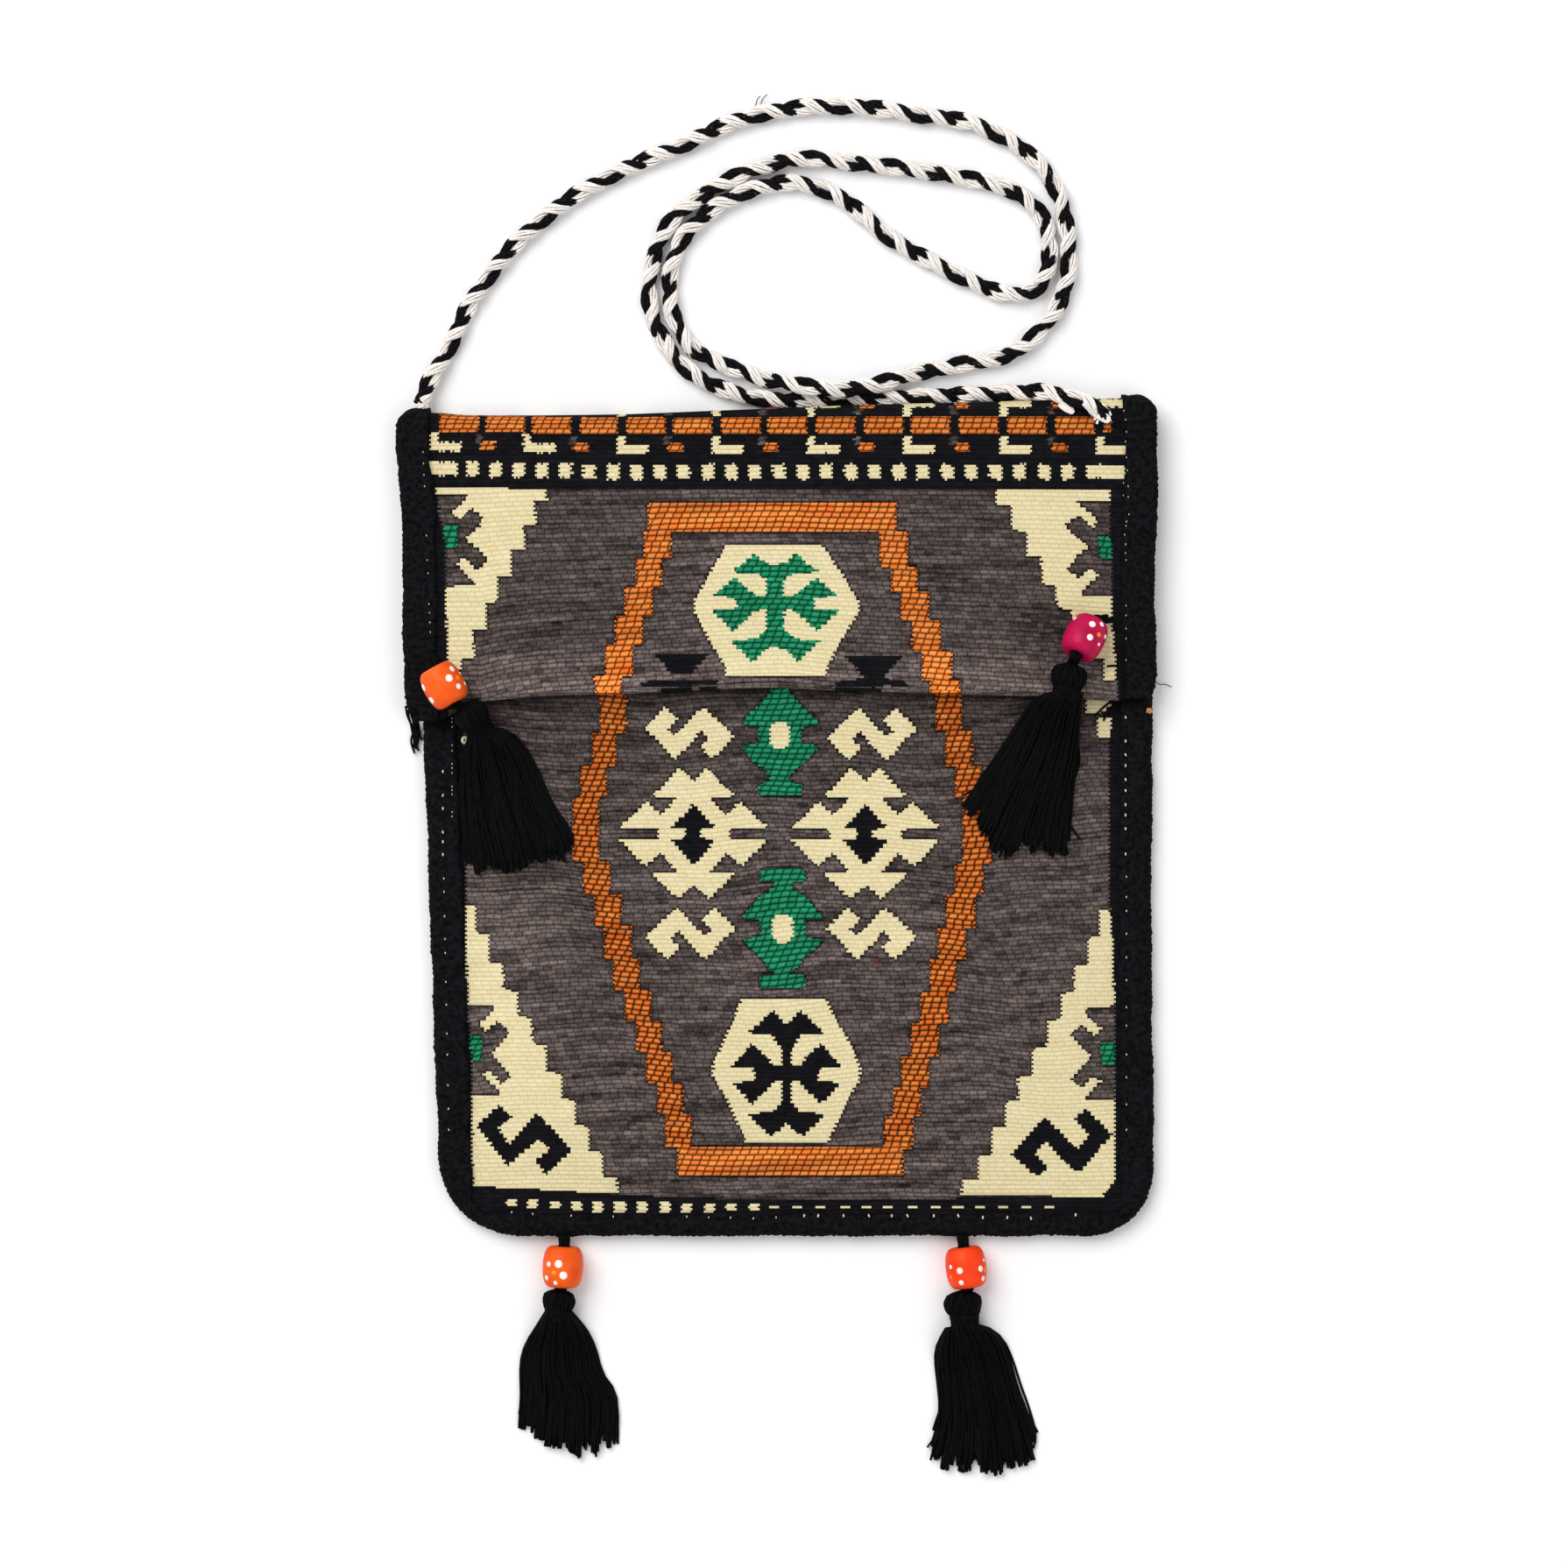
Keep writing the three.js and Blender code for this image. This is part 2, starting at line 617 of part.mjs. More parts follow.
function addPiece(name, geometry, material) {
  const piece = new THREE.Mesh(geometry, material);
  piece.name = name;
  bag.add(piece);
}

addPiece("back_and_flap", backAndFlap(), KILIM);
addPiece("front_panel", frontPanel(), KILIM);
addPiece("edge_binding", edgeBinding(), BLACK_COTTON);
addPiece("strap", strap(), BRAID);
for (const tassel of TASSELS) {
  addPiece(`tassel_cord_${tassel.name}`, tasselCord(tassel), BLACK_COTTON);
  addPiece(`bead_${tassel.name}`, barrelBead(tassel), finish(tassel.colour, 0.35));
  addPiece(`tassel_${tassel.name}`, tasselSolid(tassel), BLACK_COTTON);
}

export default bag;
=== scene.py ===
import itertools
import math

import bmesh
import bpy
import numpy as np
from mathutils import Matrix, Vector


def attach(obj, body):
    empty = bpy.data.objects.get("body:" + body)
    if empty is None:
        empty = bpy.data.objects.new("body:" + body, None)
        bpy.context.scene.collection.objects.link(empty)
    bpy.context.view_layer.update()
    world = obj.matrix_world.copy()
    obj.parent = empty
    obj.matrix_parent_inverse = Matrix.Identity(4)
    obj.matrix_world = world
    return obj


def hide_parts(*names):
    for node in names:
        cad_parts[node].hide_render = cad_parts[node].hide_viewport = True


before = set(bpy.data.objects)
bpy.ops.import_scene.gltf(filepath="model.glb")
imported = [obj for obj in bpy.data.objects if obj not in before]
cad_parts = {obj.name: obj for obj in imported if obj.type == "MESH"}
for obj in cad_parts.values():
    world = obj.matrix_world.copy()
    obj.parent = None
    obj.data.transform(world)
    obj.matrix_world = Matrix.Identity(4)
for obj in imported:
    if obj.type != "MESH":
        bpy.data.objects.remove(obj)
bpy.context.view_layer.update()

scene = bpy.context.scene
MM = 0.001
SEED = 11
rng = np.random.default_rng(SEED)

# The pattern is charted in units of 0.3 mm, counted right and down from a corner above the bag
CHART = 0.3
CHART_X, CHART_Y = 885.5, 1065.0
FRAME_UNITS = 1790


def chart_u(x):
    return CHART_X + np.asarray(x) / CHART


def chart_v(y):
    return CHART_Y - np.asarray(y) / CHART


def plan(u, v):
    return (u - CHART_X) * CHART, (CHART_Y - v) * CHART


# Camera, straight above the bag
CAMERA_HEIGHT = 2.0
SUBJECT_LEVEL = 0.008
FILM_WIDTH = 36
camera_data = bpy.data.cameras.new("camera")
camera_data.sensor_width = FILM_WIDTH
camera_data.lens = FILM_WIDTH * CAMERA_HEIGHT / (FRAME_UNITS * CHART * MM)
camera = bpy.data.objects.new("camera", camera_data)
centre_x, centre_y = plan(FRAME_UNITS / 2, FRAME_UNITS / 2)
camera.location = (centre_x * MM, centre_y * MM, CAMERA_HEIGHT + SUBJECT_LEVEL)
scene.collection.objects.link(camera)
scene.camera = camera
scene.view_settings.view_transform = "Standard"


# Node helpers
def node(tree, kind, inputs=None, **settings):
    made = tree.nodes.new(kind)
    for key, value in settings.items():
        setattr(made, key, value)
    for key, value in (inputs or {}).items():
        socket = made.inputs[key]
        if isinstance(value, bpy.types.NodeSocket):
            tree.links.new(value, socket)
        else:
            socket.default_value = value
    return made


def maths(tree, operation, *values):
    return node(tree, "ShaderNodeMath", dict(enumerate(values)), operation=operation).outputs[0]


def smooth_range(tree, value, low, high):
    """The value's share of the way from low to high, eased at both ends."""
    inputs = {"Value": value, "From Min": low, "From Max": high}
    return node(tree, "ShaderNodeMapRange", inputs, interpolation_type="SMOOTHSTEP").outputs["Result"]


def mix_colour(tree, share, a, b, blend="MIX"):
    made = node(tree, "ShaderNodeMix", data_type="RGBA", blend_type=blend)
    for index, value in ((0, share), (6, a), (7, b)):
        if isinstance(value, bpy.types.NodeSocket):
            tree.links.new(value, made.inputs[index])
        else:
            made.inputs[index].default_value = value
    return made.outputs[2]


def colour(text):
    """A colour as light, from its six hex digits."""
    parts = [int(text[i : i + 2], 16) / 255 for i in (0, 2, 4)]
    linear = [c / 12.92 if c <= 0.04045 else ((c + 0.055) / 1.055) ** 2.4 for c in parts]
    return (*linear, 1.0)


def shader_group(name, inputs, outputs):
    tree = bpy.data.node_groups.new(name, "ShaderNodeTree")
    for label, kind in inputs:
        tree.interface.new_socket(label, in_out="INPUT", socket_type=kind)
    for label, kind in outputs:
        tree.interface.new_socket(label, in_out="OUTPUT", socket_type=kind)
    return tree, node(tree, "NodeGroupInput"), node(tree, "NodeGroupOutput")


FLOAT, VECTOR = "NodeSocketFloat", "NodeSocketVector"


# Weft-faced weaving: ribs across the cloth, each a row of floats with joints between them, and the
# long streaks, small blotches and broad clouds in which the yarn's tone changes
ROW_SHIFT = 0.3  # each row starts at its own place, by up to this share of a float
RIB_ROUND = 0.85


def weave_group():
    tree, given, result = shader_group(
        "weave",
        [(label, FLOAT) for label in ("Rows", "Drift", "Slant", "Joint Width", "Joint Depth", "Wander")],
        [(label, FLOAT) for label in ("Height", "Joint", "Groove", "Tone", "Streak", "Blotch", "Cloud")],
    )
    uv = node(tree, "ShaderNodeUVMap", uv_map="weave").outputs["UV"]
    place = node(tree, "ShaderNodeSeparateXYZ", {0: uv})

    def noise(stretch, scale, detail):
        drawn = node(tree, "ShaderNodeMapping", {"Vector": uv, "Scale": (*stretch, 1.0)}).outputs[0]
        return node(tree, "ShaderNodeTexNoise", {"Vector": drawn, "Scale": scale, "Detail": detail}).outputs["Fac"]

    swing = maths(tree, "SUBTRACT", noise((0.6, 0.45), 1.0, 2.0), 0.5)
    along = maths(tree, "MULTIPLY_ADD", swing, given.outputs["Wander"], place.outputs["X"])
    rows = maths(tree, "MULTIPLY", place.outputs["Y"], given.outputs["Rows"])
    across = maths(tree, "MULTIPLY_ADD", swing, given.outputs["Wander"], rows)
    row = maths(tree, "FLOOR", across)
    in_row = maths(tree, "SUBTRACT", across, row)
    own_shift = node(tree, "ShaderNodeTexWhiteNoise", {"W": row}, noise_dimensions="1D").outputs["Value"]
    loose = maths(tree, "MULTIPLY_ADD", own_shift, ROW_SHIFT, along)
    shifted = maths(tree, "MULTIPLY_ADD", row, given.outputs["Drift"], loose)
    shifted = maths(tree, "SUBTRACT", shifted, maths(tree, "MULTIPLY", in_row, given.outputs["Slant"]))
    column = maths(tree, "FLOOR", shifted)
    in_float = maths(tree, "SUBTRACT", shifted, column)
    rib = maths(tree, "POWER", maths(tree, "SINE", maths(tree, "MULTIPLY", in_row, math.pi)), RIB_ROUND)
    near = maths(tree, "MINIMUM", in_float, maths(tree, "SUBTRACT", 1.0, in_float))
    joint = maths(tree, "SUBTRACT", 1.0, smooth_range(tree, near, 0.0, given.outputs["Joint Width"]))
    dip = maths(tree, "MULTIPLY", joint, given.outputs["Joint Depth"])
    height = maths(tree, "MULTIPLY", rib, maths(tree, "SUBTRACT", 1.0, dip))
    key = node(tree, "ShaderNodeCombineXYZ", {0: column, 1: row, 2: 0.0})
    tone = node(tree, "ShaderNodeTexWhiteNoise", {"Vector": key.outputs[0]}, noise_dimensions="2D")
    for label, value in (
        ("Height", height),
        ("Joint", joint),
        ("Groove", maths(tree, "SUBTRACT", 1.0, rib)),
        ("Tone", tone.outputs["Value"]),
        ("Streak", noise((0.07, 0.75), 1.2, 5.0)),
        ("Blotch", noise((0.8, 0.9), 1.0, 5.0)),
        ("Cloud", noise((0.06, 0.05), 1.5, 3.0)),
    ):
        tree.links.new(value, result.inputs[label])
    return tree


WEAVE = weave_group()


# Fine spun fibres: a grain with so many waves to the metre along X, Y and Z, and small even flecks
FLECKS = 260.0


def fibre_group():
    tree, given, result = shader_group("fibre", [("Stretch", VECTOR)], [("Grain", FLOAT), ("Fleck", FLOAT)])
    where = node(tree, "ShaderNodeTexCoord").outputs["Object"]
    drawn = node(tree, "ShaderNodeVectorMath", {0: where, 1: given.outputs["Stretch"]}, operation="MULTIPLY")
    grain = node(tree, "ShaderNodeTexNoise", {"Vector": drawn.outputs[0], "Scale": 1.0, "Detail": 3.0})
    fleck = node(tree, "ShaderNodeTexNoise", {"Vector": where, "Scale": FLECKS, "Detail": 2.0})
    tree.links.new(grain.outputs["Fac"], result.inputs["Grain"])
    tree.links.new(fleck.outputs["Fac"], result.inputs["Fleck"])
    return tree


FIBRE = fibre_group()


def new_material(name, roughness, **levels):
    material = bpy.data.materials.new(name)
    material.use_nodes = True
    surface = material.node_tree.nodes["Principled BSDF"]
    surface.inputs["Roughness"].default_value = roughness
    for label, value in levels.items():
        surface.inputs[label.replace("_", " ")].default_value = value
    return material, material.node_tree, surface


def bump(tree, surface, height, strength, distance):
    made = node(tree, "ShaderNodeBump", {"Height": height, "Strength": strength, "Distance": distance * MM})
    tree.links.new(made.outputs["Normal"], surface.inputs["Normal"])


# One yarn of the kilim: its light and dark tones, how dark the joints turn, how much painted shade falls in
# the grooves between ribs and painted shadow along motif edges, how deep the relief is in millimetres, its rows
# to a rib, how far each row drifts and its floats slant, how wide the joints are and how far they wander, how
# much each float has a tone of its own, and how much the cloth's painted light and shade changes the tone
JOINT_DEPTH = 0.85
TONE_PARTS = [("Streak", 0.35, 0.68, 0.5), ("Cloud", 0.35, 0.65, 0.15), ("Blotch", 0.3, 0.7, 0.35)]


def yarn_material(name, light, dark, joint, groove_shade, edge_shadow, relief, rows, drift, slant, width, wander, tone, painted_shading):
    material, tree, surface = new_material(name, 0.95, Specular_IOR_Level=0.06)
    levels = {"Rows": rows, "Drift": drift, "Slant": slant, "Joint Width": width, "Wander": wander}
    weave = node(tree, "ShaderNodeGroup", levels | {"Joint Depth": JOINT_DEPTH}, node_tree=WEAVE).outputs
    broad = 0.0
    for label, low, high, weight in TONE_PARTS:
        broad = maths(tree, "MULTIPLY_ADD", smooth_range(tree, weave[label], low, high), weight, broad)
    share = maths(tree, "MULTIPLY_ADD", broad, 1 - tone, maths(tree, "MULTIPLY", weave["Tone"], tone))
    base = mix_colour(tree, share, colour(dark), colour(light))
    # painted light and shade of the cloth, from its point attribute, weighted for this yarn
    shading_layer = node(tree, "ShaderNodeAttribute", attribute_name="painted_shading").outputs["Fac"]
    shade = maths(tree, "MULTIPLY_ADD", maths(tree, "SUBTRACT", shading_layer, 1.0), painted_shading, 1.0)
    # painted shade in the grooves between ribs
    sunk = maths(tree, "POWER", weave["Groove"], 1.1)
    # painted shadow along motif edges, from the cloth's face attribute
    edge = node(tree, "ShaderNodeAttribute", attribute_name="edge_shadow").outputs["Fac"]
    for mask, depth in ((weave["Joint"], joint), (sunk, groove_shade), (edge, edge_shadow)):
        kept = maths(tree, "SUBTRACT", 1.0, maths(tree, "MULTIPLY", mask, depth))
        shade = maths(tree, "MULTIPLY", shade, kept)
    tint = node(tree, "ShaderNodeCombineColor", {0: shade, 1: shade, 2: shade}).outputs[0]
    tree.links.new(mix_colour(tree, 1.0, base, tint, "MULTIPLY"), surface.inputs["Base Color"])
    bump(tree, surface, weave["Height"], 1.0, relief)
    return material


GREY, CREAM, ORANGE, GREEN, BLACK, STEPS = range(6)
YARNS = [
    yarn_material("grey_chenille", "80726E", "080505", 0.62, 0.62, 0.7, 0.3, 1.0, 0.3, 0.0, 0.1, 0.8, 0.32, 1.0),
    yarn_material("cream_yarn", "ECDFB5", "DCCD9C", 0.1, 0.22, 0.0, 0.16, 1.0, 0.37, 0.0, 0.08, 0.2, 0.4, 0.06),
    yarn_material("orange_yarn", "FC9C4C", "E6681E", 0.87, 0.92, 0.0, 0.5, 0.8, 0.7, 0.2, 0.15, 0.35, 0.5, 0.7),
    yarn_material("green_yarn", "2AA475", "18794F", 0.7, 0.93, 0.0, 0.5, 0.8, 0.7, 0.22, 0.2, 0.35, 0.5, 0.25),
    yarn_material("black_yarn", "1A191D", "0D0C10", 0.2, 0.4, 0.0, 0.16, 1.0, 0.5, 0.0, 0.1, 0.3, 0.6, 0.0),
    yarn_material("orange_steps", "EC8C40", "D05816", 0.92, 0.99, 0.0, 0.55, 0.8, 0.7, 0.14, 0.22, 0.35, 0.5, 0.5),
]
YARN_RISE = np.array([0.0, 0.22, 0.3, 0.3, 0.05, 0.3])  # how far each yarn stands out of the ground


def grained(tree, surface, light, dark, stretch, low, high):
    """Colours a surface by its fibres, and gives them back for its relief."""
    fibre = node(tree, "ShaderNodeGroup", {"Stretch": stretch}, node_tree=FIBRE).outputs
    share = smooth_range(tree, fibre["Grain"], low, high)
    tree.links.new(mix_colour(tree, share, colour(dark), colour(light)), surface.inputs["Base Color"])
    return fibre


def spun(name, light, dark, roughness, stretch, relief, **levels):
    material, tree, surface = new_material(name, roughness, **levels)
    fibre = grained(tree, surface, light, dark, stretch, 0.3, 0.7)
    bump(tree, surface, maths(tree, "MULTIPLY_ADD", fibre["Fleck"], 0.5, fibre["Grain"]), 0.7, relief)
    return material


DULL = {"Specular_IOR_Level": 0.05}
EVEN = np.ones(3)
BLACK_TAPE = spun("black_tape", "161519", "060607", 0.85, EVEN * 650, 0.28, **DULL)
BLACK_THREAD = spun("black_thread", "0E0E10", "070708", 0.75, (1500, 300, 1500), 0.1, **DULL)
WHITE_STRAND = spun("white_strand", "FBF7F2", "E9E1DA", 0.9, EVEN * 900, 0.3, **DULL)
BLACK_STRAND = spun("black_strand", "1B191B", "0D0C0E", 0.85, EVEN * 900, 0.3, **DULL)
CREAM_THREAD = spun("cream_thread", "EFE6C4", "D5C79A", 0.9, EVEN * 700, 0.1)
ORANGE_THREAD = spun("orange_thread", "D79A62", "B86A30", 0.9, EVEN * 700, 0.1)
CRIMSON_THREAD = spun("crimson_thread", "8A1424", "5A0A18", 0.9, EVEN * 700, 0.1)


def painted(name, light, dark, roughness=0.4, coat=0.03):
    finish = {"Coat_Weight": coat, "Coat_Roughness": 0.2, "Specular_IOR_Level": 0.12}
    material, tree, surface = new_material(name, roughness, **finish)
    fibre = grained(tree, surface, light, dark, EVEN * 180, 0.25, 0.75)
    bump(tree, surface, fibre["Grain"], 0.25, 0.15)
    return material


BEAD_PAINT = {
    "orange_bead": painted("orange_bead", "F4641C", "E84E10"),
    "red_bead": painted("red_bead", "FF4A1C", "F03A10"),
    "crimson_bead": painted("crimson_bead", "C2104C", "A80A3E"),
}
WHITE_PAINT = painted("white_paint", "FBF6F1", "F2E9E2", roughness=0.45, coat=0.1)
YELLOW_PAINT = painted("yellow_paint", "F79A1E", "F08010", roughness=0.45, coat=0.1)


# Threads of one thickness along paths, made by Geometry Nodes
def yarn_tree():
    tree = bpy.data.node_groups.new("yarn_on_paths", "GeometryNodeTree")
    tree.is_modifier = True
    for label, kind in (
        ("Paths", "NodeSocketGeometry"),
        ("Radius", FLOAT),
        ("Sides", "NodeSocketInt"),
        ("Yarn", "NodeSocketMaterial"),
    ):
        tree.interface.new_socket(label, in_out="INPUT", socket_type=kind)
    tree.interface.new_socket("Threads", in_out="OUTPUT", socket_type="NodeSocketGeometry")
    given = node(tree, "NodeGroupInput").outputs
    curve = node(tree, "GeometryNodeMeshToCurve", {"Mesh": given["Paths"]})
    ring = node(tree, "GeometryNodeCurvePrimitiveCircle", {"Resolution": given["Sides"], "Radius": given["Radius"]})
    ends = {"Curve": curve.outputs[0], "Profile Curve": ring.outputs[0], "Fill Caps": True}
    tube = node(tree, "GeometryNodeCurveToMesh", ends)
    smooth = node(tree, "GeometryNodeSetShadeSmooth", {"Geometry": tube.outputs[0]})
    real = node(tree, "GeometryNodeRealizeInstances", {"Geometry": smooth.outputs[0]})
    worn = node(tree, "GeometryNodeSetMaterial", {"Geometry": real.outputs[0], "Material": given["Yarn"]})
    result = node(tree, "NodeGroupOutput")
    tree.links.new(worn.outputs[0], result.inputs["Threads"])
    return tree


YARN_TREE = yarn_tree()
YARN_INPUTS = {item.name: item.identifier for item in YARN_TREE.interface.items_tree if item.in_out == "INPUT"}


def threads(name, paths, radius, sides, material):
    """A mesh of threads along paths, lists of points in millimetres."""
    edges, start = [], 0
    for path in paths:
        edges += [(start + i, start + i + 1) for i in range(len(path) - 1)]
        start += len(path)
    lines = bpy.data.meshes.new(name + "_paths")
    lines.from_pydata(np.concatenate([np.asarray(p, float) for p in paths]) * MM, edges, [])
    carrier = bpy.data.objects.new(name + "_paths", lines)
    scene.collection.objects.link(carrier)
    modifier = carrier.modifiers.new("yarn", "NODES")
    modifier.node_group = YARN_TREE
    modifier[YARN_INPUTS["Radius"]] = radius * MM
    modifier[YARN_INPUTS["Sides"]] = sides
    modifier[YARN_INPUTS["Yarn"]] = material
    graph = bpy.context.evaluated_depsgraph_get()
    made = bpy.data.meshes.new_from_object(carrier.evaluated_get(graph), depsgraph=graph)
    bpy.data.objects.remove(carrier)
    bpy.data.meshes.remove(lines)
    made.name = name
    return made


def mesh_of(name, points, faces, materials, indices=None):
    """A smooth mesh of quads, from points in millimetres."""
    mesh = bpy.data.meshes.new(name)
    used, faces = np.unique(faces, return_inverse=True)
    faces = faces.reshape(-1, 4)
    mesh.vertices.add(len(used))
    mesh.vertices.foreach_set("co", (np.asarray(points, float)[used] * MM).astype(np.float32).ravel())
    mesh.loops.add(faces.size)
    mesh.loops.foreach_set("vertex_index", faces.astype(np.int32).ravel())
    mesh.polygons.add(len(faces))
    mesh.polygons.foreach_set("loop_start", np.arange(0, faces.size, 4, dtype=np.int32))
    for material in materials:
        mesh.materials.append(material)
    if indices is not None:
        mesh.polygons.foreach_set("material_index", np.asarray(indices, np.int32))
    mesh.polygons.foreach_set("use_smooth", np.ones(len(faces), bool))
    mesh.update(calc_edges=True)
    return mesh, used


def grid_faces(rows, columns, turned=False):
    """Quads over a grid of points, facing the other way when turned."""
    i = np.arange(rows * columns).reshape(rows, columns)
    corners = [i[:-1, :-1], i[:-1, 1:], i[1:, 1:], i[1:, :-1]]
    return np.stack(corners[::-1] if turned else corners, -1).reshape(-1, 4)


def joined(name, meshes):
    """One mesh of several, each with its own materials."""
    builder = bmesh.new()
    materials = []
    for mesh in meshes:
        places = []
        for material in mesh.materials:
            if material not in materials:
                materials.append(material)
            places.append(materials.index(material))
        index = np.zeros(len(mesh.polygons), np.int32)
        mesh.polygons.foreach_get("material_index", index)
        mesh.polygons.foreach_set("material_index", np.array(places, np.int32)[index])
        builder.from_mesh(mesh)
        bpy.data.meshes.remove(mesh)
    whole = bpy.data.meshes.new(name)
    builder.to_mesh(whole)
    builder.free()
    for material in materials:
        whole.materials.append(material)
    return whole


def piece(name, mesh, slot, *nodes):
    """A finished piece on the part's one body, in place of the solids it dresses."""
    made = bpy.data.objects.new(name, mesh)
    mesh.name = name
    scene.collection.objects.link(made)
    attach(made, "root")
    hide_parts(*nodes)
    return made


# The strap's route from the left end of the fold, round its loose spiral, to the flap's right corner
STRAP_ROUTE = [
    (-121.6, 181.3, 6.2), (-119.9, 186.6, 5.0), (-112.1, 201.3, 3.1), (-101.6, 221.4, 3.1),
    (-82.1, 243.3, 3.1), (-58.7, 258.9, 3.1), (-34.4, 269.4, 3.1), (-9.8, 279.9, 3.1),
    (18.2, 283.8, 3.1), (47.3, 281.1, 3.1), (73.1, 275.7, 3.1), (93.0, 260.7, 3.1),
    (100.2, 240.0, 3.1), (98.3, 218.1, 3.1), (83.6, 200.4, 3.1), (62.3, 194.7, 3.1),
    (46.5, 191.8, 3.6), (34.7, 187.9, 7.4), (24.0, 186.3, 9.1), (14.0, 186.6, 9.0),
    (4.5, 188.4, 7.2), (-6.0, 190.7, 3.6), (-27.8, 200.1, 3.1), (-35.4, 212.0, 3.1),
    (-36.3, 225.0, 3.1), (-32.5, 237.6, 3.1), (-23.9, 246.6, 3.1), (-11.3, 254.0, 3.1),
    (6.0, 257.5, 3.1), (20.9, 253.1, 3.1), (40.7, 237.6, 3.1), (64.4, 225.0, 3.1),
    (80.9, 219.0, 3.1), (90.9, 222.6, 3.1), (94.1, 234.9, 3.1), (90.8, 246.6, 3.1),
    (82.1, 254.3, 3.1), (61.4, 259.7, 3.1), (34.4, 263.4, 3.1), (4.4, 265.2, 3.1),
    (-20.6, 255.9, 3.1), (-36.2, 243.6, 3.1), (-42.6, 229.5, 3.1), (-42.6, 213.0, 3.1),
    (-35.5, 198.9, 3.1), (-24.8, 189.6, 3.1), (-7.6, 183.8, 3.1), (14.0, 183.0, 3.1),
    (39.0, 183.5, 3.1), (60.0, 184.4, 3.1), (80.0, 185.2, 3.8), (90.5, 185.3, 8.2),
    (98.5, 183.7, 12.5), (106.5, 181.0, 15.1), (113.0, 177.0, 15.3),
]


def curve_through(points, spacing):
    """Points at an even spacing along a smooth curve through the given ones."""
    p = np.asarray(points, float)
    p = np.vstack([2 * p[0] - p[1], p, 2 * p[-1] - p[-2]])
    line = []
    for a, b, c, d in zip(p, p[1:], p[2:], p[3:]):
        ab, bc, cd = (math.sqrt(np.linalg.norm(q)) for q in (b - a, c - b, d - c))
        leave = ((b - a) / ab - (c - a) / (ab + bc) + (c - b) / bc) * bc
        arrive = ((c - b) / bc - (d - b) / (bc + cd) + (d - c) / cd) * bc
        t = np.linspace(0, 1, 24, endpoint=False)[:, None]
        cubic = (2 * b - 2 * c + leave + arrive) * t**3 + (-3 * b + 3 * c - 2 * leave - arrive) * t**2
        line.append(cubic + leave * t + b)
    line = np.vstack(line + [p[-2:-1]])
    along = np.concatenate([[0], np.cumsum(np.linalg.norm(np.diff(line, axis=0), axis=1))])
    at = np.linspace(0, along[-1], max(3, round(along[-1] / spacing) + 1))
    return np.stack([np.interp(at, along, line[:, i]) for i in range(3)], 1), at


def above_floor(points, clear):
    """Points kept at least so far above the floor."""
    return np.maximum(points, (-np.inf, -np.inf, clear))


def frames_along(line):
    """Ways ahead, aside and up at each point of a line."""
    ahead = np.gradient(line, axis=0)
    ahead /= np.linalg.norm(ahead, axis=1, keepdims=True)
    aside = np.cross(ahead, (0, 0, 1.0))
    aside /= np.linalg.norm(aside, axis=1, keepdims=True)
    return ahead, aside, np.cross(aside, ahead)


# The strap's braid: a white and a black strand, side by side, wind round two more, a white and a black,
# which change sides at every turn. Each strand is a ring of plies.
BRAID_PITCH = 13.8
BRAID_STEP = 1.1
BLACK_LAG = 3.9  # the black strand winds this far behind the white one
GAP_MIDDLE = (BLACK_LAG + BRAID_PITCH) / 2
PLY_TWIST = 0.3
WHITE_PLY, BLACK_PLY, END_PLY = 0.54, 0.52, 0.45  # radii
PLY_REST = 0.6  # no ply's middle comes nearer to the floor


def braid():
    line, along = curve_through(STRAP_ROUTE, BRAID_STEP)
    _, aside, up = frames_along(line)
    sway = 0.3 * np.sin(along / 61) + 0.2 * np.sin(along / 23 + 1)

    def outward(angle):
        return aside * np.sin(angle)[:, None] + up * np.cos(angle)[:, None]

    def plies(middle, out, count, wide, thick, twist):
        way = np.gradient(middle, axis=0)
        beside = np.cross(way / np.linalg.norm(way, axis=1, keepdims=True), out)
        angles = [2 * math.pi * k / count + along * twist for k in range(count)]
        return [middle + beside * (wide * np.cos(a))[:, None] + out * (thick * np.sin(a))[:, None] for a in angles]

    def winding(lag, radius, count, wide, thick):
        out = outward(2 * math.pi * (along - lag) / BRAID_PITCH + sway)
        return plies(line + out * radius, out, count, wide, thick, PLY_TWIST)

    turns = (along - GAP_MIDDLE) / BRAID_PITCH
    change = -math.pi * (turns - 0.75 * np.sin(2 * math.pi * turns) / (2 * math.pi)) + math.pi / 2
    spread = (1.1 + 0.5 * np.cos(2 * math.pi * turns))[:, None]

    def inner(side):
        middle = line + side * outward(change + sway * 0.5) * spread
        return plies(middle, up, count=6, wide=1.12, thick=1.05, twist=-PLY_TWIST)

    white = winding(0, radius=2.1, count=7, wide=1.35, thick=0.6) + inner(1)
    black = winding(BLACK_LAG, radius=1.7, count=6, wide=0.95, thick=0.5) + inner(-1)
    white, black = ([above_floor(ply, PLY_REST) for ply in strand] for strand in (white, black))
    made = [
        threads("white", white, WHITE_PLY, 4, WHITE_STRAND),
        threads("black", black, BLACK_PLY, 4, BLACK_STRAND),
        threads("ends", strap_ends(), END_PLY, 5, WHITE_STRAND),
    ]
    strap = piece("strap_braid", joined("strap_braid", made), "braid", "strap")


# Frayed yarns at both ends of the strap: where on the chart and how high, which way, and how many.
# Two bundles lie over them at the right end, each with its width.
FRAYED_ENDS = [((488, 463, 7.5), (-13, 2), 9), ((1246, 464, 16.0), (14, 13), 10)]
END_BUNDLES = [((1236, 461, 16.6), (27, 20), 9, 3.0), ((1208, 462, 13.6), (16, 9), 6, 2.0)]
END_POINTS = 7


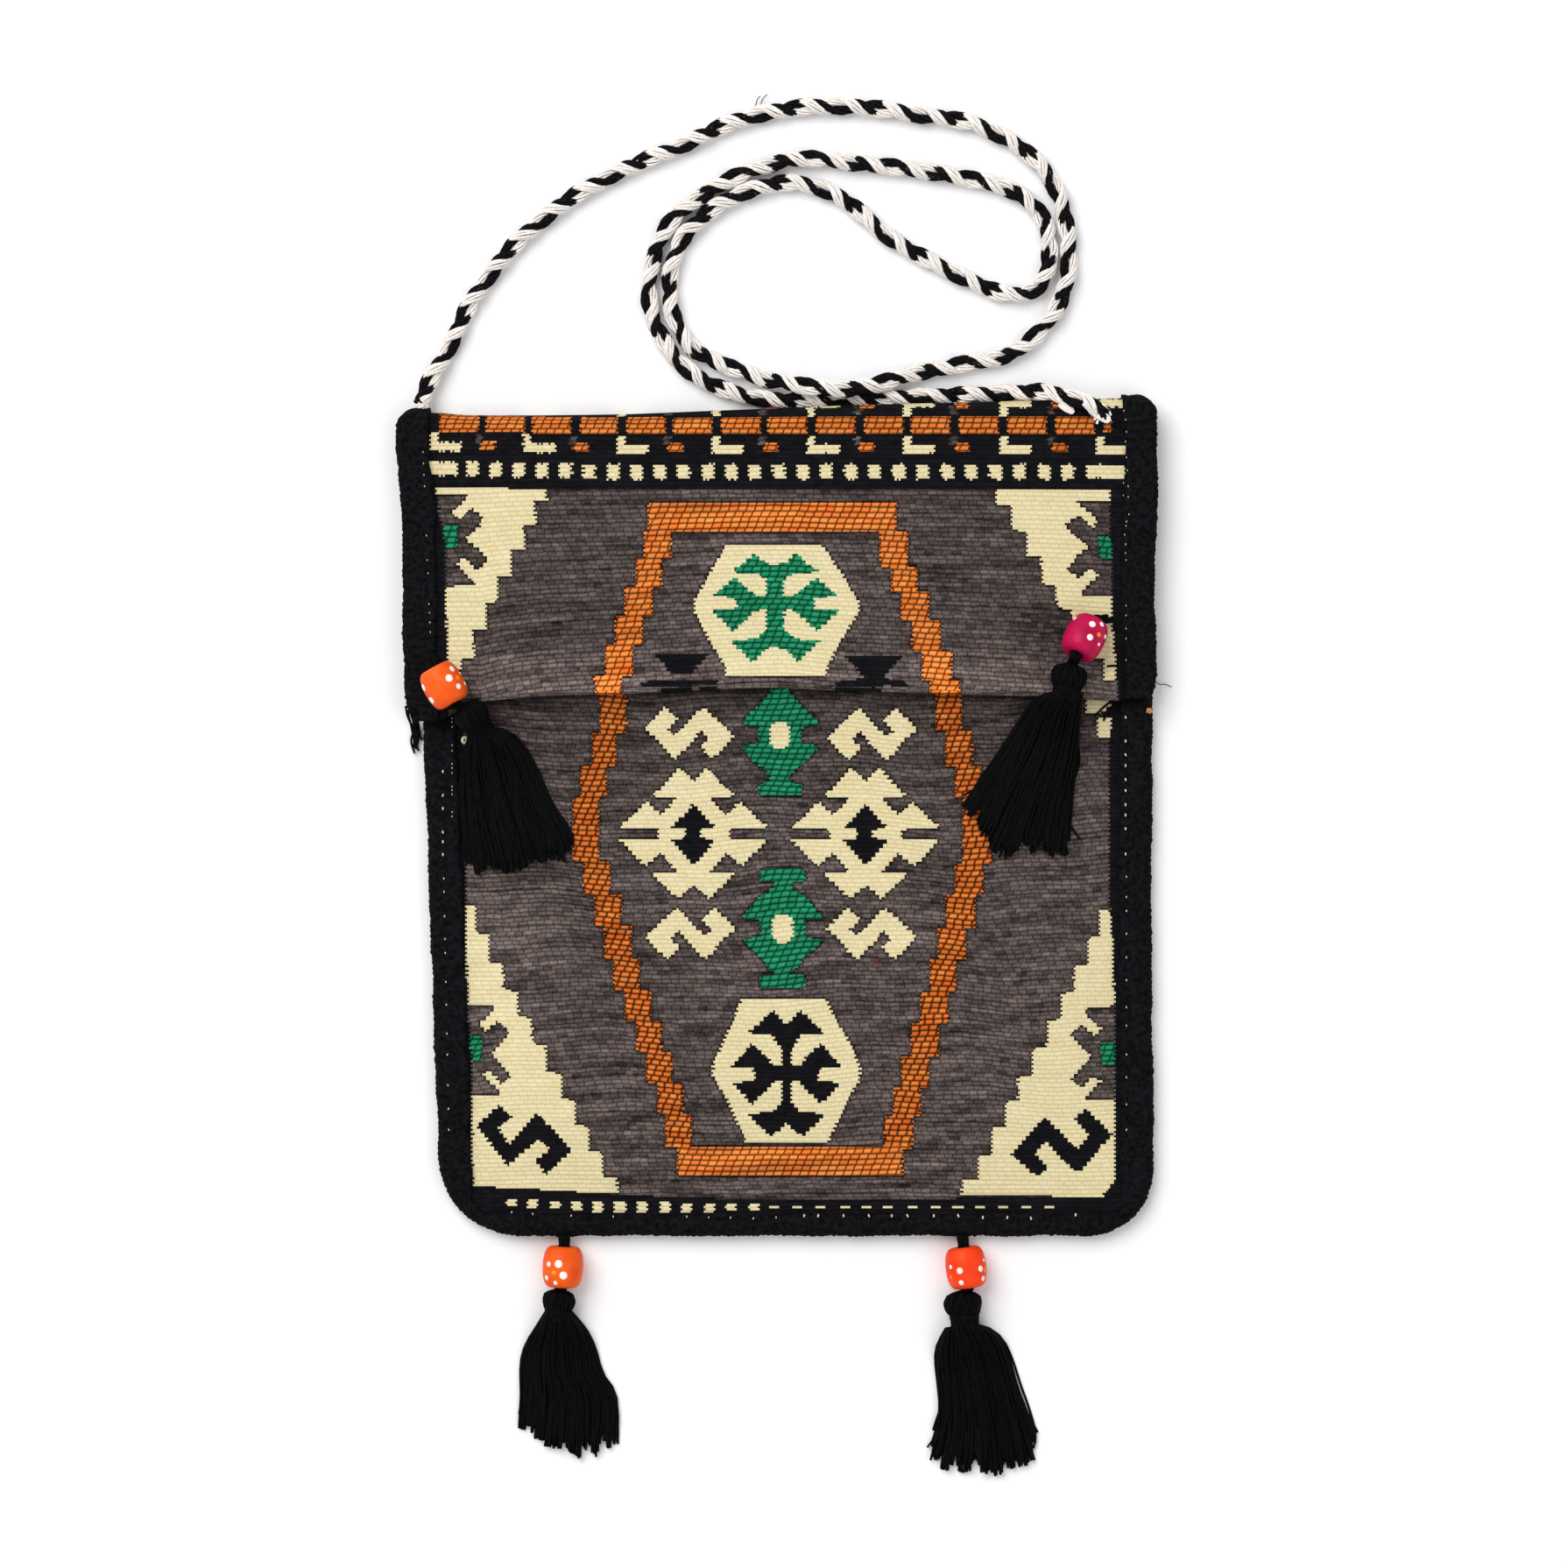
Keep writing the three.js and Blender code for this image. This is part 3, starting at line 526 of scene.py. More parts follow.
def strap_ends():
    made = []
    for (u, v, z), (du, dv), count in FRAYED_ENDS:
        x, y = plan(u, v)
        for k in range(count):
            turn = (k / (count - 1) - 0.5) * 1.5 + rng.normal(0, 0.1)
            reach = CHART * (0.75 + 0.5 * rng.random())
            cos, sin = math.cos(turn), math.sin(turn)
            ahead = np.array([du * cos - dv * sin, -(du * sin + dv * cos)])
            t = np.linspace(0, 1, END_POINTS)
            curl = np.array([-ahead[1], ahead[0]]) * rng.normal(0, 0.18)
            flat = np.array([x, y]) + (ahead * t[:, None] + curl * np.sin(t * 3)[:, None]) * reach
            made.append(np.column_stack([flat, z + (1.2 * rng.random() - 0.4) * np.sin(t * 2.6) - 0.5 * t]))
    for (u, v, z), (du, dv), count, wide in END_BUNDLES:
        ahead = np.array([du, -dv]) * CHART
        beside = np.array([-ahead[1], ahead[0]]) / np.linalg.norm(ahead)
        for k in range(count):
            t = np.linspace(0, 1, END_POINTS) * (1 + 0.1 * math.sin(k * 2.4))
            aside = (k / (count - 1) - 0.5) * wide
            bow = (0.5 + 0.5 * np.sin(t * 2.8)) * aside
            flat = np.array(plan(u, v)) + ahead * t[:, None] + beside * bow[:, None]
            made.append(np.column_stack([flat, z + 0.5 * math.cos(2.4 * aside / wide) - 0.7 * t]))
    return made


braid()

# The body of the bag, as in the solid model: its cloth, corners, the rise of the pouch, the binding tape,
# and the heights at which the sheets lie. The edges are given as y, left x and right x.
CLOTH = 2
BAG_BOTTOM = -104.1
CORNER_RADIUS = {"left": 28, "right": 23}
INWARD = {"left": 1, "right": -1}
POUCH_RISE, RISE_RUN, FRONT_DROP = 6.2, 55, 20
BINDING_WIDTH, BINDING_NOSE, TAPE, RAMP_CLEAR, LIFT_RUN = 11.4, 3.2, 1.2, 1.5, 10
FOOT_WIDTH, CORNER_WIDTH, FOLD_ROUND = 7.6, 5.4, 5  # the tape along the foot, at the corners and at the fold
WRAP, BODY_WRAP, BODY_TOP = 2.5, 4.8, 7.3
BACK_LEVEL, BACK_REST, FRONT_LEVEL, FLAP_LEVEL, FLAP_RISE = 2.5, 1.0, 4.8, 10.1, 3.4
BODY_EDGES = [
    (-110, -114.6, 129.6), (-70, -116.0, 129.7), (0, -118.5, 129.0), (60, -120.6, 129.3),
    (110, -123.2, 129.5), (150, -127.0, 129.8), (175, -130.3, 130.2),
]
FLAP_EDGES = [
    (70, -126.6, 130.0), (97.5, -127.5, 130.4), (124.5, -127.7, 129.6),
    (150, -128.4, 130.9), (165, -129.8, 130.6), (175, -130.3, 130.2),
]
TOP_FOLD = [
    (-117, 178.4), (-104, 177.4), (-56, 177.6), (-26, 178.7),
    (4, 179.9), (34, 181.0), (64, 181.7), (116, 183.2),
]
FLAP_HEM = [(-118, 72.5), (-98, 80.0), (-47, 82.8), (0, 84.6), (20, 83.7), (88, 81.6), (118, 80.2)]


def through(rows, column=1):
    """A smooth curve through the rows of a table, level beyond both ends."""
    place = np.array([row[0] for row in rows], float)
    value = np.array([row[column] for row in rows], float)
    before, after = np.maximum(np.arange(len(rows)) - 1, 0), np.minimum(np.arange(len(rows)) + 1, len(rows) - 1)
    slope = (value[after] - value[before]) / (place[after] - place[before])

    def at(where):
        where = np.clip(where, place[0], place[-1])
        i = np.clip(np.searchsorted(place, where, side="right") - 1, 0, len(rows) - 2)
        run = place[i + 1] - place[i]
        t = (where - place[i]) / run
        bend = t * (1 - t) * ((1 - t) * slope[i] - t * slope[i + 1])
        return value[i] + (value[i + 1] - value[i]) * t * t * (3 - 2 * t) + run * bend

    return at


top_fold, flap_hem = through(TOP_FOLD), through(FLAP_HEM)
body_edge = {"left": through(BODY_EDGES, 1), "right": through(BODY_EDGES, 2)}
flap_edge = {"left": through(FLAP_EDGES, 1), "right": through(FLAP_EDGES, 2)}


def corner_centre(side):
    """Centre of the body's round corner at the left or right."""
    y = BAG_BOTTOM + CORNER_RADIUS[side]
    return float(body_edge[side](y)) + INWARD[side] * CORNER_RADIUS[side], y


def body_side(side, y, inset):
    """The body's left or right side, so far in from its outer edge."""
    x, corner_y = corner_centre(side)
    y = np.asarray(y, float)
    radius = CORNER_RADIUS[side] - inset
    rounded = x - INWARD[side] * np.sqrt(np.maximum(radius**2 - np.minimum(y - corner_y, 0) ** 2, 0))
    return np.where(y >= corner_y, body_edge[side](y) + INWARD[side] * inset, rounded)


def inside_binding(x, y):
    """Distances from the binding's inner edges at the left, the right and the foot."""
    inset = BINDING_WIDTH + RAMP_CLEAR
    return x - body_side("left", y, inset), body_side("right", y, inset) - x, y - BAG_BOTTOM - inset


def swell(x, y):
    """The pouch's share of its full rise."""
    share = 1.0
    for distance in inside_binding(x, y):
        share = share * (1 - (1 - np.clip(distance / RISE_RUN, 0, 1)) ** 2)
    return share


def back_level(x, y):
    down = np.clip(np.minimum.reduce(inside_binding(x, y)) / LIFT_RUN, 0, 1)
    return BACK_LEVEL + (BACK_REST - BACK_LEVEL) * down


WAVE_RUN = 20


def waves(x, y):
    """Shallow waves of the soft cloth, the same in the front and in the flap that lies on it."""
    calm = np.clip(np.minimum.reduce(inside_binding(x, y)) / WAVE_RUN, 0, 1)
    swing = 0.22 * np.sin(x / 17 + 0.4 * np.sin(y / 31)) + 0.2 * np.sin(y / 13 + x / 47 + 1.3)
    return calm * (swing + 0.12 * np.sin((x + y) / 9.0))


def front_level(x, y):
    return FRONT_LEVEL + POUCH_RISE * swell(x, y) + waves(x, y)


def flap_level(x, y):
    return FLAP_LEVEL + FLAP_RISE * swell(x, y) + waves(x, y)


def top_at(x, y):
    """Top of whatever lies at a place: the flap, the front, their bindings, or the floor."""
    x, y = np.asarray(x, float), np.asarray(y, float)
    flap_in = np.minimum(x - flap_edge["left"](y), flap_edge["right"](y) - x)
    on_flap = (y > flap_hem(x)) & (y < top_fold(x)) & (flap_in > 0)
    flap_top = np.where(flap_in < BINDING_WIDTH, FLAP_LEVEL + WRAP, flap_level(x, y) + CLOTH / 2)
    body_in = np.minimum(x - body_side("left", y, 0), body_side("right", y, 0) - x)
    on_body = (y > BAG_BOTTOM) & (y < top_fold(x)) & (body_in > 0)
    bound = np.minimum(body_in, y - BAG_BOTTOM) < BINDING_WIDTH
    body_top = np.where(bound, BODY_TOP, front_level(x, y) + CLOTH / 2)
    return np.where(on_flap, flap_top, np.where(on_body, body_top, 0.0))


# The pattern, charted as outlines in chart units
def mirrored(half, u, v):
    """A whole outline from its right half, given from the middle of the top to the middle of the foot."""
    points = [(u + du, v + dv) for du, dv in half]
    return points + [(u - du, v + dv) for du, dv in reversed(half)]


def moved(points, u, v, flip=1):
    return [(u + flip * du, v + dv) for du, dv in points]


def box(left, right, top, foot):
    return [(left, top), (right, top), (right, foot), (left, foot)]


UPPER_LEFT = [
    (498, 556), (625, 556), (625, 573), (611, 573), (612, 600), (598, 601), (600, 628), (585, 628), (585, 657),
    (569, 658), (569, 687), (555, 688), (555, 720), (541, 720), (542, 752), (527, 752), (526, 768), (512, 768),
    (509.5, 670), (541, 669), (543, 666), (532, 655), (522, 644), (531, 637), (538, 643), (545, 652), (552, 646),
    (558, 638), (548, 628), (532, 616), (548, 602), (552, 591), (538, 580), (526, 594), (516, 586), (529, 574),
    (534, 566), (499, 566),
]
UPPER_RIGHT = [
    (1136, 559), (1267, 559), (1267, 573), (1229, 573), (1235, 580), (1246, 588), (1252, 595), (1247, 603),
    (1238, 595), (1229, 589), (1215, 600), (1224, 611), (1242, 625), (1229, 635), (1217, 651), (1231, 661),
    (1244, 649), (1253, 657), (1241, 669), (1233, 677), (1238, 681), (1268, 681), (1273, 740), (1275, 778),
    (1260, 778), (1259, 752), (1241, 752), (1240, 725), (1224, 724), (1223, 696), (1206, 694), (1205, 668),
    (1189, 667), (1188, 637), (1172, 635), (1171, 608), (1155, 606), (1154, 578), (1137, 577),
]
LOWER_LEFT = [
    (530, 1033), (542, 1033), (543, 1065), (558, 1067), (559, 1099), (574, 1100), (575, 1130), (591, 1132),
    (592, 1160), (607, 1162), (608, 1191), (623, 1193), (625, 1224), (641, 1225), (642, 1254), (657, 1256),
    (657, 1284), (672, 1286), (672, 1314), (687, 1316), (689, 1343), (704, 1345), (705, 1363), (570, 1359),
    (540, 1353), (537, 1252), (567, 1252), (571, 1248), (561, 1237), (551, 1227), (558, 1222), (566, 1230),
    (573, 1238), (584, 1228), (576, 1219), (561, 1203), (570, 1192), (580, 1183), (582, 1177), (568, 1166),
    (555, 1177), (547, 1169), (558, 1160), (566, 1149), (533, 1147),
]
LOWER_RIGHT = [
    (1256, 1038), (1269, 1038), (1273, 1103), (1274, 1148), (1236, 1152), (1244, 1163), (1257, 1174),
    (1250, 1182), (1235, 1170), (1222, 1180), (1233, 1194), (1246, 1206), (1233, 1221), (1222, 1233),
    (1235, 1242), (1248, 1230), (1257, 1234), (1244, 1248), (1237, 1256), (1273, 1255), (1273, 1349),
    (1258, 1367), (1098, 1364), (1099, 1348), (1117, 1346), (1118, 1320), (1132, 1319), (1132, 1288),
    (1148, 1286), (1147, 1258), (1162, 1256), (1162, 1229), (1178, 1227), (1179, 1197), (1195, 1196),
    (1196, 1165), (1211, 1163), (1211, 1134), (1226, 1133), (1226, 1103), (1242, 1101), (1243, 1071), (1256, 1069),
]
LEFT_BLACK_HOOK = [
    (570, 1261), (584, 1275), (569, 1288), (581, 1306), (614, 1270), (653, 1313), (623, 1341), (611, 1326),
    (628, 1311), (615, 1301), (579, 1331), (544, 1286),
]
RIGHT_BLACK_HOOK = [
    (1193, 1275), (1154, 1317), (1183, 1344), (1197, 1334), (1181, 1316), (1194, 1304), (1227, 1338),
    (1233, 1338), (1270, 1295), (1240, 1266), (1226, 1278), (1244, 1296), (1230, 1312),
]
UPPER_MEDALLION = [
    (830, 622), (938, 622), (960, 655), (980, 688), (980, 699), (958, 735), (945, 760), (942, 773), (884, 773),
    (829, 773), (828, 761), (812, 735), (793, 698), (793, 687), (811, 655),
]
LOWER_MEDALLION = [
    (848, 1139), (942, 1139), (949, 1153), (959, 1172), (971, 1191), (978, 1209), (982, 1219), (981, 1232),
    (971, 1248), (964, 1264), (957, 1279), (948, 1296), (945, 1305), (852, 1305), (850, 1296), (841, 1280),
    (832, 1257), (820, 1238), (814, 1227), (815, 1211), (820, 1201), (828, 1185), (838, 1164), (843, 1148),
]
GREEN_CROSS = [
    (0, -44), (11.5, -46), (24, -58), (33, -48), (43, -41), (50, -38), (43, -35), (21, -34), (10.3, -27),
    (10.3, -9), (21, -9), (32, -17), (47, -30), (60, -18), (72, -8), (44.5, -6.5), (44.5, 7), (73, 8), (60, 20),
    (47.5, 32), (36, 21), (23, 9), (10.3, 6), (10.3, 30), (22, 40), (51, 43), (40, 53), (26, 67), (12, 53), (0, 49),
]
BLACK_CROSS = [
    (0, -55), (4, -58), (15.3, -71), (24, -64), (36, -52), (43.4, -46.5), (39.5, -43.4), (16.6, -42.7),
    (11.5, -35), (5.7, -26), (5.7, -9.6), (14, -7), (20.4, -16), (39.5, -33.8), (48.5, -22), (62.5, -7),
    (37.6, -5.7), (37, 8.3), (62, 12), (48.5, 26), (39.5, 36), (29.3, 26), (14, 10.8), (6.4, 8.3), (5.7, 33.8),
    (14, 44), (43.4, 47.2), (33.2, 59.3), (18.5, 72.7), (7.7, 65.7), (0, 56.8),
]
HOOK = [
    (-27.9, -29.8), (-20.5, -21.7), (-13.2, -16.6), (-19, -9.2), (-25.7, -3.4), (-16.9, 2.5), (-4.4, -8.5),
    (5.9, -20.2), (14.7, -29), (26.4, -18.8), (38.1, -8.5), (50.6, 4.7), (44, 12), (33.7, 22.3), (26.4, 29.6),
    (19, 23.8), (12.5, 15), (22, 7.6), (13.2, -3.4), (5.9, 6.2), (-2.9, 16.4), (-16.9, 29.6), (-25, 22.3),
    (-36.7, 7.6), (-51.3, -4.8), (-41, -15.8), (-33.7, -23.2),
]
STAR = [
    (0, -59.4), (7.3, -67.5), (16.1, -75.5), (23.5, -66.7), (36.7, -52), (46.2, -45.5), (42.5, -42.5),
    (19, -41.8), (27.9, -30), (37.4, -22), (45.5, -28.6), (52.8, -37.4), (63, -27), (74.8, -15.4), (83.6, -9.5),
    (82, -6.6), (41, -5.1), (41, 5.9), (84.3, 6.6), (73.3, 18.3), (63, 28.6), (55, 36.7), (45.5, 28.6), (37.4, 22),
    (29.3, 31.5), (19, 43.3), (47, 44), (41, 52), (27.9, 63.8), (18.3, 74), (10.3, 66.7), (0, 58.7),
]
STAR_HEART = [
    (0, -34.5), (10.3, -22.7), (23.5, -9), (23.5, -5.9), (8.8, -5.1), (8.8, 4.4), (25, 6.6), (14.7, 19.8),
    (3, 33), (0, 33),
]
UPPER_VASE = [
    (0, -75), (25, -75), (25, -57), (9, -54), (12, -47), (20, -38), (26.5, -31.5), (33.5, -25.5), (43, -16.5),
    (40, -11.5), (25, -11), (24.5, 8.5), (44, 13), (37, 23), (30, 29), (21, 36), (13, 45.5), (9, 50.5), (24.5, 57),
    (24.5, 69), (0, 69.5),
]
LOWER_VASE = [
    (0, -69), (25.5, -67), (25.5, -53), (10, -54.5), (9, -49.4), (15, -43), (25, -37), (33, -27), (40, -19),
    (46, -13.5), (44, -10), (25, -10), (25, 9), (45, 13.5), (40, 20), (31, 27), (24, 34), (18, 41), (16, 46),
    (8.5, 50), (8.5, 52), (26, 54), (26, 68), (0, 68.5),
]
VASE_EYE = [(0, -16), (5.7, -16), (11.5, -9), (11.5, 9), (5.5, 16), (0, 16)]
TRAPEZOID = [(-34, -12), (34, -12), (23, -2), (11, 12), (-12, 12), (-23, -2)]
# The stepped orange frame: left, right, top and foot of each step
FRAME_STEPS = [
    (741, 1023, 576, 609),
    (736, 766, 608, 638), (727, 755, 638, 671), (714, 745, 671, 704), (704, 734, 704, 737), (692, 722, 737, 771),
    (680, 710, 771, 791), (686, 715, 791, 836), (676, 703, 836, 874), (664, 692, 874, 910), (655, 683, 910, 984),
    (667, 696, 984, 1020), (680, 709, 1020, 1057), (691, 720, 1057, 1094), (701, 730, 1094, 1130),
    (715, 742, 1130, 1165), (727, 755, 1165, 1201), (739, 767, 1201, 1237), (751, 779, 1237, 1271),
    (761, 789, 1271, 1310),
    (773, 1030, 1310, 1343),
    (1004, 1036, 609, 648), (1017, 1047, 648, 677), (1029, 1060, 677, 709), (1041, 1072, 709, 743),
    (1053, 1085, 743, 778), (1062, 1094, 778, 792), (1068, 1097, 792, 835), (1079, 1109, 835, 875),
    (1090, 1120, 875, 910), (1100, 1131, 910, 985), (1091, 1122, 985, 1022), (1080, 1112, 1022, 1058),
    (1071, 1102, 1058, 1095), (1062, 1091, 1095, 1132), (1051, 1081, 1132, 1167), (1040, 1071, 1167, 1205),
    (1029, 1060, 1205, 1240), (1020, 1050, 1240, 1275), (1010, 1041, 1275, 1311),
]
FLAP_MOTIFS = [
    (CREAM, UPPER_LEFT),
    (CREAM, UPPER_RIGHT),
    (GREEN, box(508, 522, 601, 625)),
    (GREEN, box(1254, 1270, 614, 638)),
    *((ORANGE, box(*step)) for step in FRAME_STEPS if step[3] < 795),
    (CREAM, UPPER_MEDALLION),
    (GREEN, mirrored(GREEN_CROSS, 885, 689.5)),
    (BLACK, moved(TRAPEZOID, 778, 757.5)),
    (BLACK, moved(TRAPEZOID, 997, 761.5)),
    (BLACK, [(731, 779), (764, 776), (790, 776), (820, 778), (820, 783), (792, 782), (786, 785), (731, 784)]),
    (BLACK, [(953, 779), (984, 775), (1012, 775), (1034, 779), (1034, 784), (1008, 783), (1000, 786), (953, 784)]),
]
FRONT_MOTIFS = [
    (CREAM, LOWER_LEFT),
    (CREAM, LOWER_RIGHT),
    (GREEN, box(535, 549, 1184, 1210)),
    (GREEN, box(1258, 1275, 1190, 1216)),
    (BLACK, LEFT_BLACK_HOOK),
    (BLACK, RIGHT_BLACK_HOOK),
    *((ORANGE, box(*step)) for step in FRAME_STEPS if step[3] > 785),
    (CREAM, LOWER_MEDALLION),
    (BLACK, mirrored(BLACK_CROSS, 898, 1224)),
    (CREAM, moved(HOOK, 787.5, 836.4)),
    (CREAM, moved(HOOK, 995, 838, -1)),
    (CREAM, moved(HOOK, 788, 1065, -1)),
    (CREAM, moved(HOOK, 995, 1065)),
    (CREAM, mirrored(STAR, 791.9, 951.8)),
    (CREAM, mirrored(STAR, 988, 952)),
    (BLACK, mirrored(STAR_HEART, 791.9, 951.8)),
    (BLACK, mirrored(STAR_HEART, 988, 952)),
    (GREEN, mirrored(UPPER_VASE, 890.4, 839.4)),
    (GREEN, mirrored(LOWER_VASE, 893.4, 1059.6)),
    (CREAM, mirrored(VASE_EYE, 890.4, 839.4)),
    (CREAM, mirrored(VASE_EYE, 893.4, 1059.6)),
    (CREAM, [(1239, 796), (1270, 796), (1268, 806), (1258, 813), (1240, 813)]),
    (CREAM, box(1254, 1270, 819, 843)),
    (BLACK, [(1256, 1370), (1274, 1347), (1300, 1347), (1300, 1390), (1256, 1390)]),
]
RIB = 5.05  # height of a rib of the weave
TOOTH = 1.15  # every other half rib steps this far aside along a motif's edge
BAND_MIDDLE = 487.5
BAND_EDGE = 561
BAND_LEAN, LEAN_END, LEAN_RUN = -4.5, 690, 200  # the band drops to the left of its lean's end
RAGGED, RAG_WIDTH = 2.6, 2.2  # the ragged feet of the cream marks
FOOT_EDGE = through(
    [(538, 1354.5), (620, 1358.5), (707, 1364), (800, 1368), (900, 1369.8), (1000, 1370), (1090, 1369), (1100, 1366),
     (1180, 1367.5), (1260, 1368)]
)
# Black selvedges beside the binding, on the front and on the flap: their inner edges down the cloth
SELVEDGES = {
    False: (
        through([(800, 529), (990, 531), (1070, 532), (1150, 534), (1200, 537.5), (1280, 539), (1360, 539)]),
        through([(800, 1270), (870, 1266), (1030, 1267), (1070, 1270), (1120, 1272), (1310, 1273), (1360, 1272)]),
    ),
    True: (
        through([(540, 484), (560, 498), (590, 503), (620, 509), (680, 509), (740, 511), (800, 514)]),
        through([(540, 1292), (556, 1290), (560, 1268.5), (650, 1269), (680, 1267.5), (740, 1271), (800, 1276)]),
    ),
}
# Woven marks along the foot: the middle, top and foot of each
FOOT_MARKS = [
    (584, 1369, 1378.5), (608, 1370, 1379), (633.7, 1372, 1381), (657.5, 1372, 1382.5),
    (683, 1372, 1386), (707.8, 1372, 1386), (733.5, 1372, 1386), (758.9, 1373, 1385), (783.8, 1374, 1384),
    (809.4, 1374.5, 1384), (834.8, 1374.5, 1383.5), (860, 1375, 1383.5), (885.4, 1376.5, 1381), (911.8, 1376.5, 1381),
    (938.3, 1376.5, 1380.5), (966, 1376.5, 1380.5), (990, 1376.5, 1380.5), (1015, 1376.5, 1380.5),
    (1042.4, 1376.5, 1380.5), (1069, 1376.5, 1380.5), (1095.4, 1376.5, 1381), (1121, 1377, 1380.5),
    (1147, 1377, 1380.5), (1173, 1377, 1380.5), (1199.5, 1377.5, 1380),
]
FOOT_MARK_WIDTH = 11.4
FOOT_BAR = 1307  # below this the orange outline is its level foot
BACK_JOIN = 790  # on the back the flap's chart runs on into the front's here


def in_outline(points, u, v):
    """Whether places lie inside a closed outline."""
    inside = np.zeros(u.shape, bool)
    for (u0, v0), (u1, v1) in zip(points, points[1:] + points[:1]):
        if v0 == v1:
            continue
        crosses = (v0 > v) != (v1 > v)
        inside ^= crosses & (u < (u1 - u0) * (v - v0) / (v1 - v0) + u0)
    return inside


def hash_of(value):
    """A fixed but uneven number from 0 to 1 for each value."""
    return np.modf(np.abs(np.sin(value * 12.9898) * 43758.5453))[0]


def in_boxes(u, v, starts, width, top, foot):
    """Inside one of a row of boxes of one width."""
    inside = np.zeros(u.shape, bool)
    for start in starts:
        inside |= (u > start) & (u < start + width)
    return inside & (v > top) & (v < foot)


def spaced(count, start, step, widening):
    """Starts of marks along the band, a little further apart to the right."""
    k = np.arange(count)
    return start + step * k + widening * k**2


def kilim(u, v, flap):
    """The yarn at places of the chart. The band at the fold mirrors about its own middle."""
    lean = BAND_LEAN * np.clip((LEAN_END - u) / LEAN_RUN, 0, 1)
    fold = BAND_MIDDLE + lean
    v = np.where(v < fold, 2 * fold - v, v)
    half_row = np.floor(v / (RIB / 2))
    tooth = TOOTH * (2 * (half_row % 2) - 1) + 0.7 * (hash_of(half_row + np.floor(u / 40) * 7) - 0.5)
    at = u + tooth
    yarn = np.full(u.shape, GREY)
    low = v - lean
    for kind, outline in FLAP_MOTIFS if flap else FRONT_MOTIFS:
        points = np.array(outline)
        (u0, v0), (u1, v1) = points.min(0), points.max(0)
        near = (at > u0 - 1) & (at < u1 + 1) & (v > v0 - 1) & (v < v1 + 1)
        if near.any():
            hit = in_outline(outline, at[near], v[near])
            yarn[near] = np.where(hit, kind, yarn[near])
    if not flap:
        yarn[(yarn == ORANGE) & (v < FOOT_BAR)] = STEPS
    left, right = SELVEDGES[flap]
    yarn[(low < BAND_EDGE) | (at < left(v)) | (at > right(v)) | (v > FOOT_EDGE(u))] = BLACK
    ragged = low - RAGGED * hash_of(np.floor(u / RAG_WIDTH))
    feet, marks = spaced(8, 492, 106.3, 0.3), spaced(7, 549, 106.3, 0.38)
    # the band's blocks, hooks, small marks and squares, then the marks along the foot:
    # yarn, ragged or even rows, starts, width, top and foot
    rows = [
        (ORANGE, low, spaced(14, 503, 53, 0.075), 43.5, 0, BAND_MIDDLE + 10),
        (ORANGE, low, [1259], 9, 0, BAND_MIDDLE + 7),
        (CREAM, ragged, feet, 35.5, 508, 518),
        (CREAM, low, feet, 8.5, 499, 509),
        (ORANGE, low, marks, 16.5, 508, 518),
        (GREY, low, marks - 5.5, 8.5, 500, 510),
        (CREAM, ragged, spaced(26, 533.6, 26.5, 0.0255), 13.4, 530.5, 546.5),
        (CREAM, ragged, [487], 35, 530.5, 545.5),
        (CREAM, ragged, [1240], 43, 530.5, 545.5),
    ]
    rows += [(CREAM, v, [m - FOOT_MARK_WIDTH / 2], FOOT_MARK_WIDTH, top, foot) for m, top, foot in FOOT_MARKS]
    for kind, down, starts, width, top, foot in rows:
        yarn[in_boxes(at, down, starts, width, top, foot)] = kind
    return yarn


def cell_middles(values):
    """Means over the four corners of each cell of a grid."""
    return (values[:-1, :-1] + values[1:, :-1] + values[:-1, 1:] + values[1:, 1:]) / 4


def cloth_mesh(name, points, weave_uv, chart, keep, painted_shading, flap=False, turned=False):
    """A woven sheet from a grid of points, their places in the weave and the chart, and the cells kept."""
    rows, columns, _ = points.shape
    middle = [cell_middles(chart[..., i]) for i in range(2)]
    yarn = kilim(*middle, flap)
    if turned:
        over = np.abs(middle[1] - BAND_MIDDLE) + BAND_MIDDLE < BACK_JOIN
        yarn = np.where(over, kilim(*middle, True), yarn)
    lift = cell_middles(np.pad(YARN_RISE[yarn], 1, mode="edge"))
    points = points.copy()
    points[..., 2] += -lift if turned else lift
    # painted shadow along motif edges: each cell beside one of another yarn, other than black, is marked, and only
    # the grey yarn darkens by it
    edge_shadow = np.zeros(yarn.shape)
    around = np.pad(yarn, 1, mode="edge")
    for beside in (around[1:-1, :-2], around[1:-1, 2:], around[:-2, 1:-1], around[2:, 1:-1]):
        edge_shadow = np.maximum(edge_shadow, ((beside != yarn) & (beside != BLACK)).astype(float))
    kept = keep.ravel()
    faces = grid_faces(rows, columns, turned)[kept]
    mesh, used = mesh_of(name, points.reshape(-1, 3), faces, YARNS, yarn.ravel()[kept])
    layer = mesh.uv_layers.new(name="weave")
    layer.data.foreach_set("uv", weave_uv.reshape(-1, 2)[faces.ravel()].astype(np.float32).ravel())
    # painted light and shade, per point
    shading_layer = mesh.attributes.new("painted_shading", "FLOAT", "POINT")
    shading_layer.data.foreach_set("value", np.broadcast_to(painted_shading, (rows, columns)).ravel()[used].astype(np.float32))
    mark = mesh.attributes.new("edge_shadow", "FLOAT", "FACE")
    mark.data.foreach_set("value", edge_shadow.ravel()[kept].astype(np.float32))
    return mesh


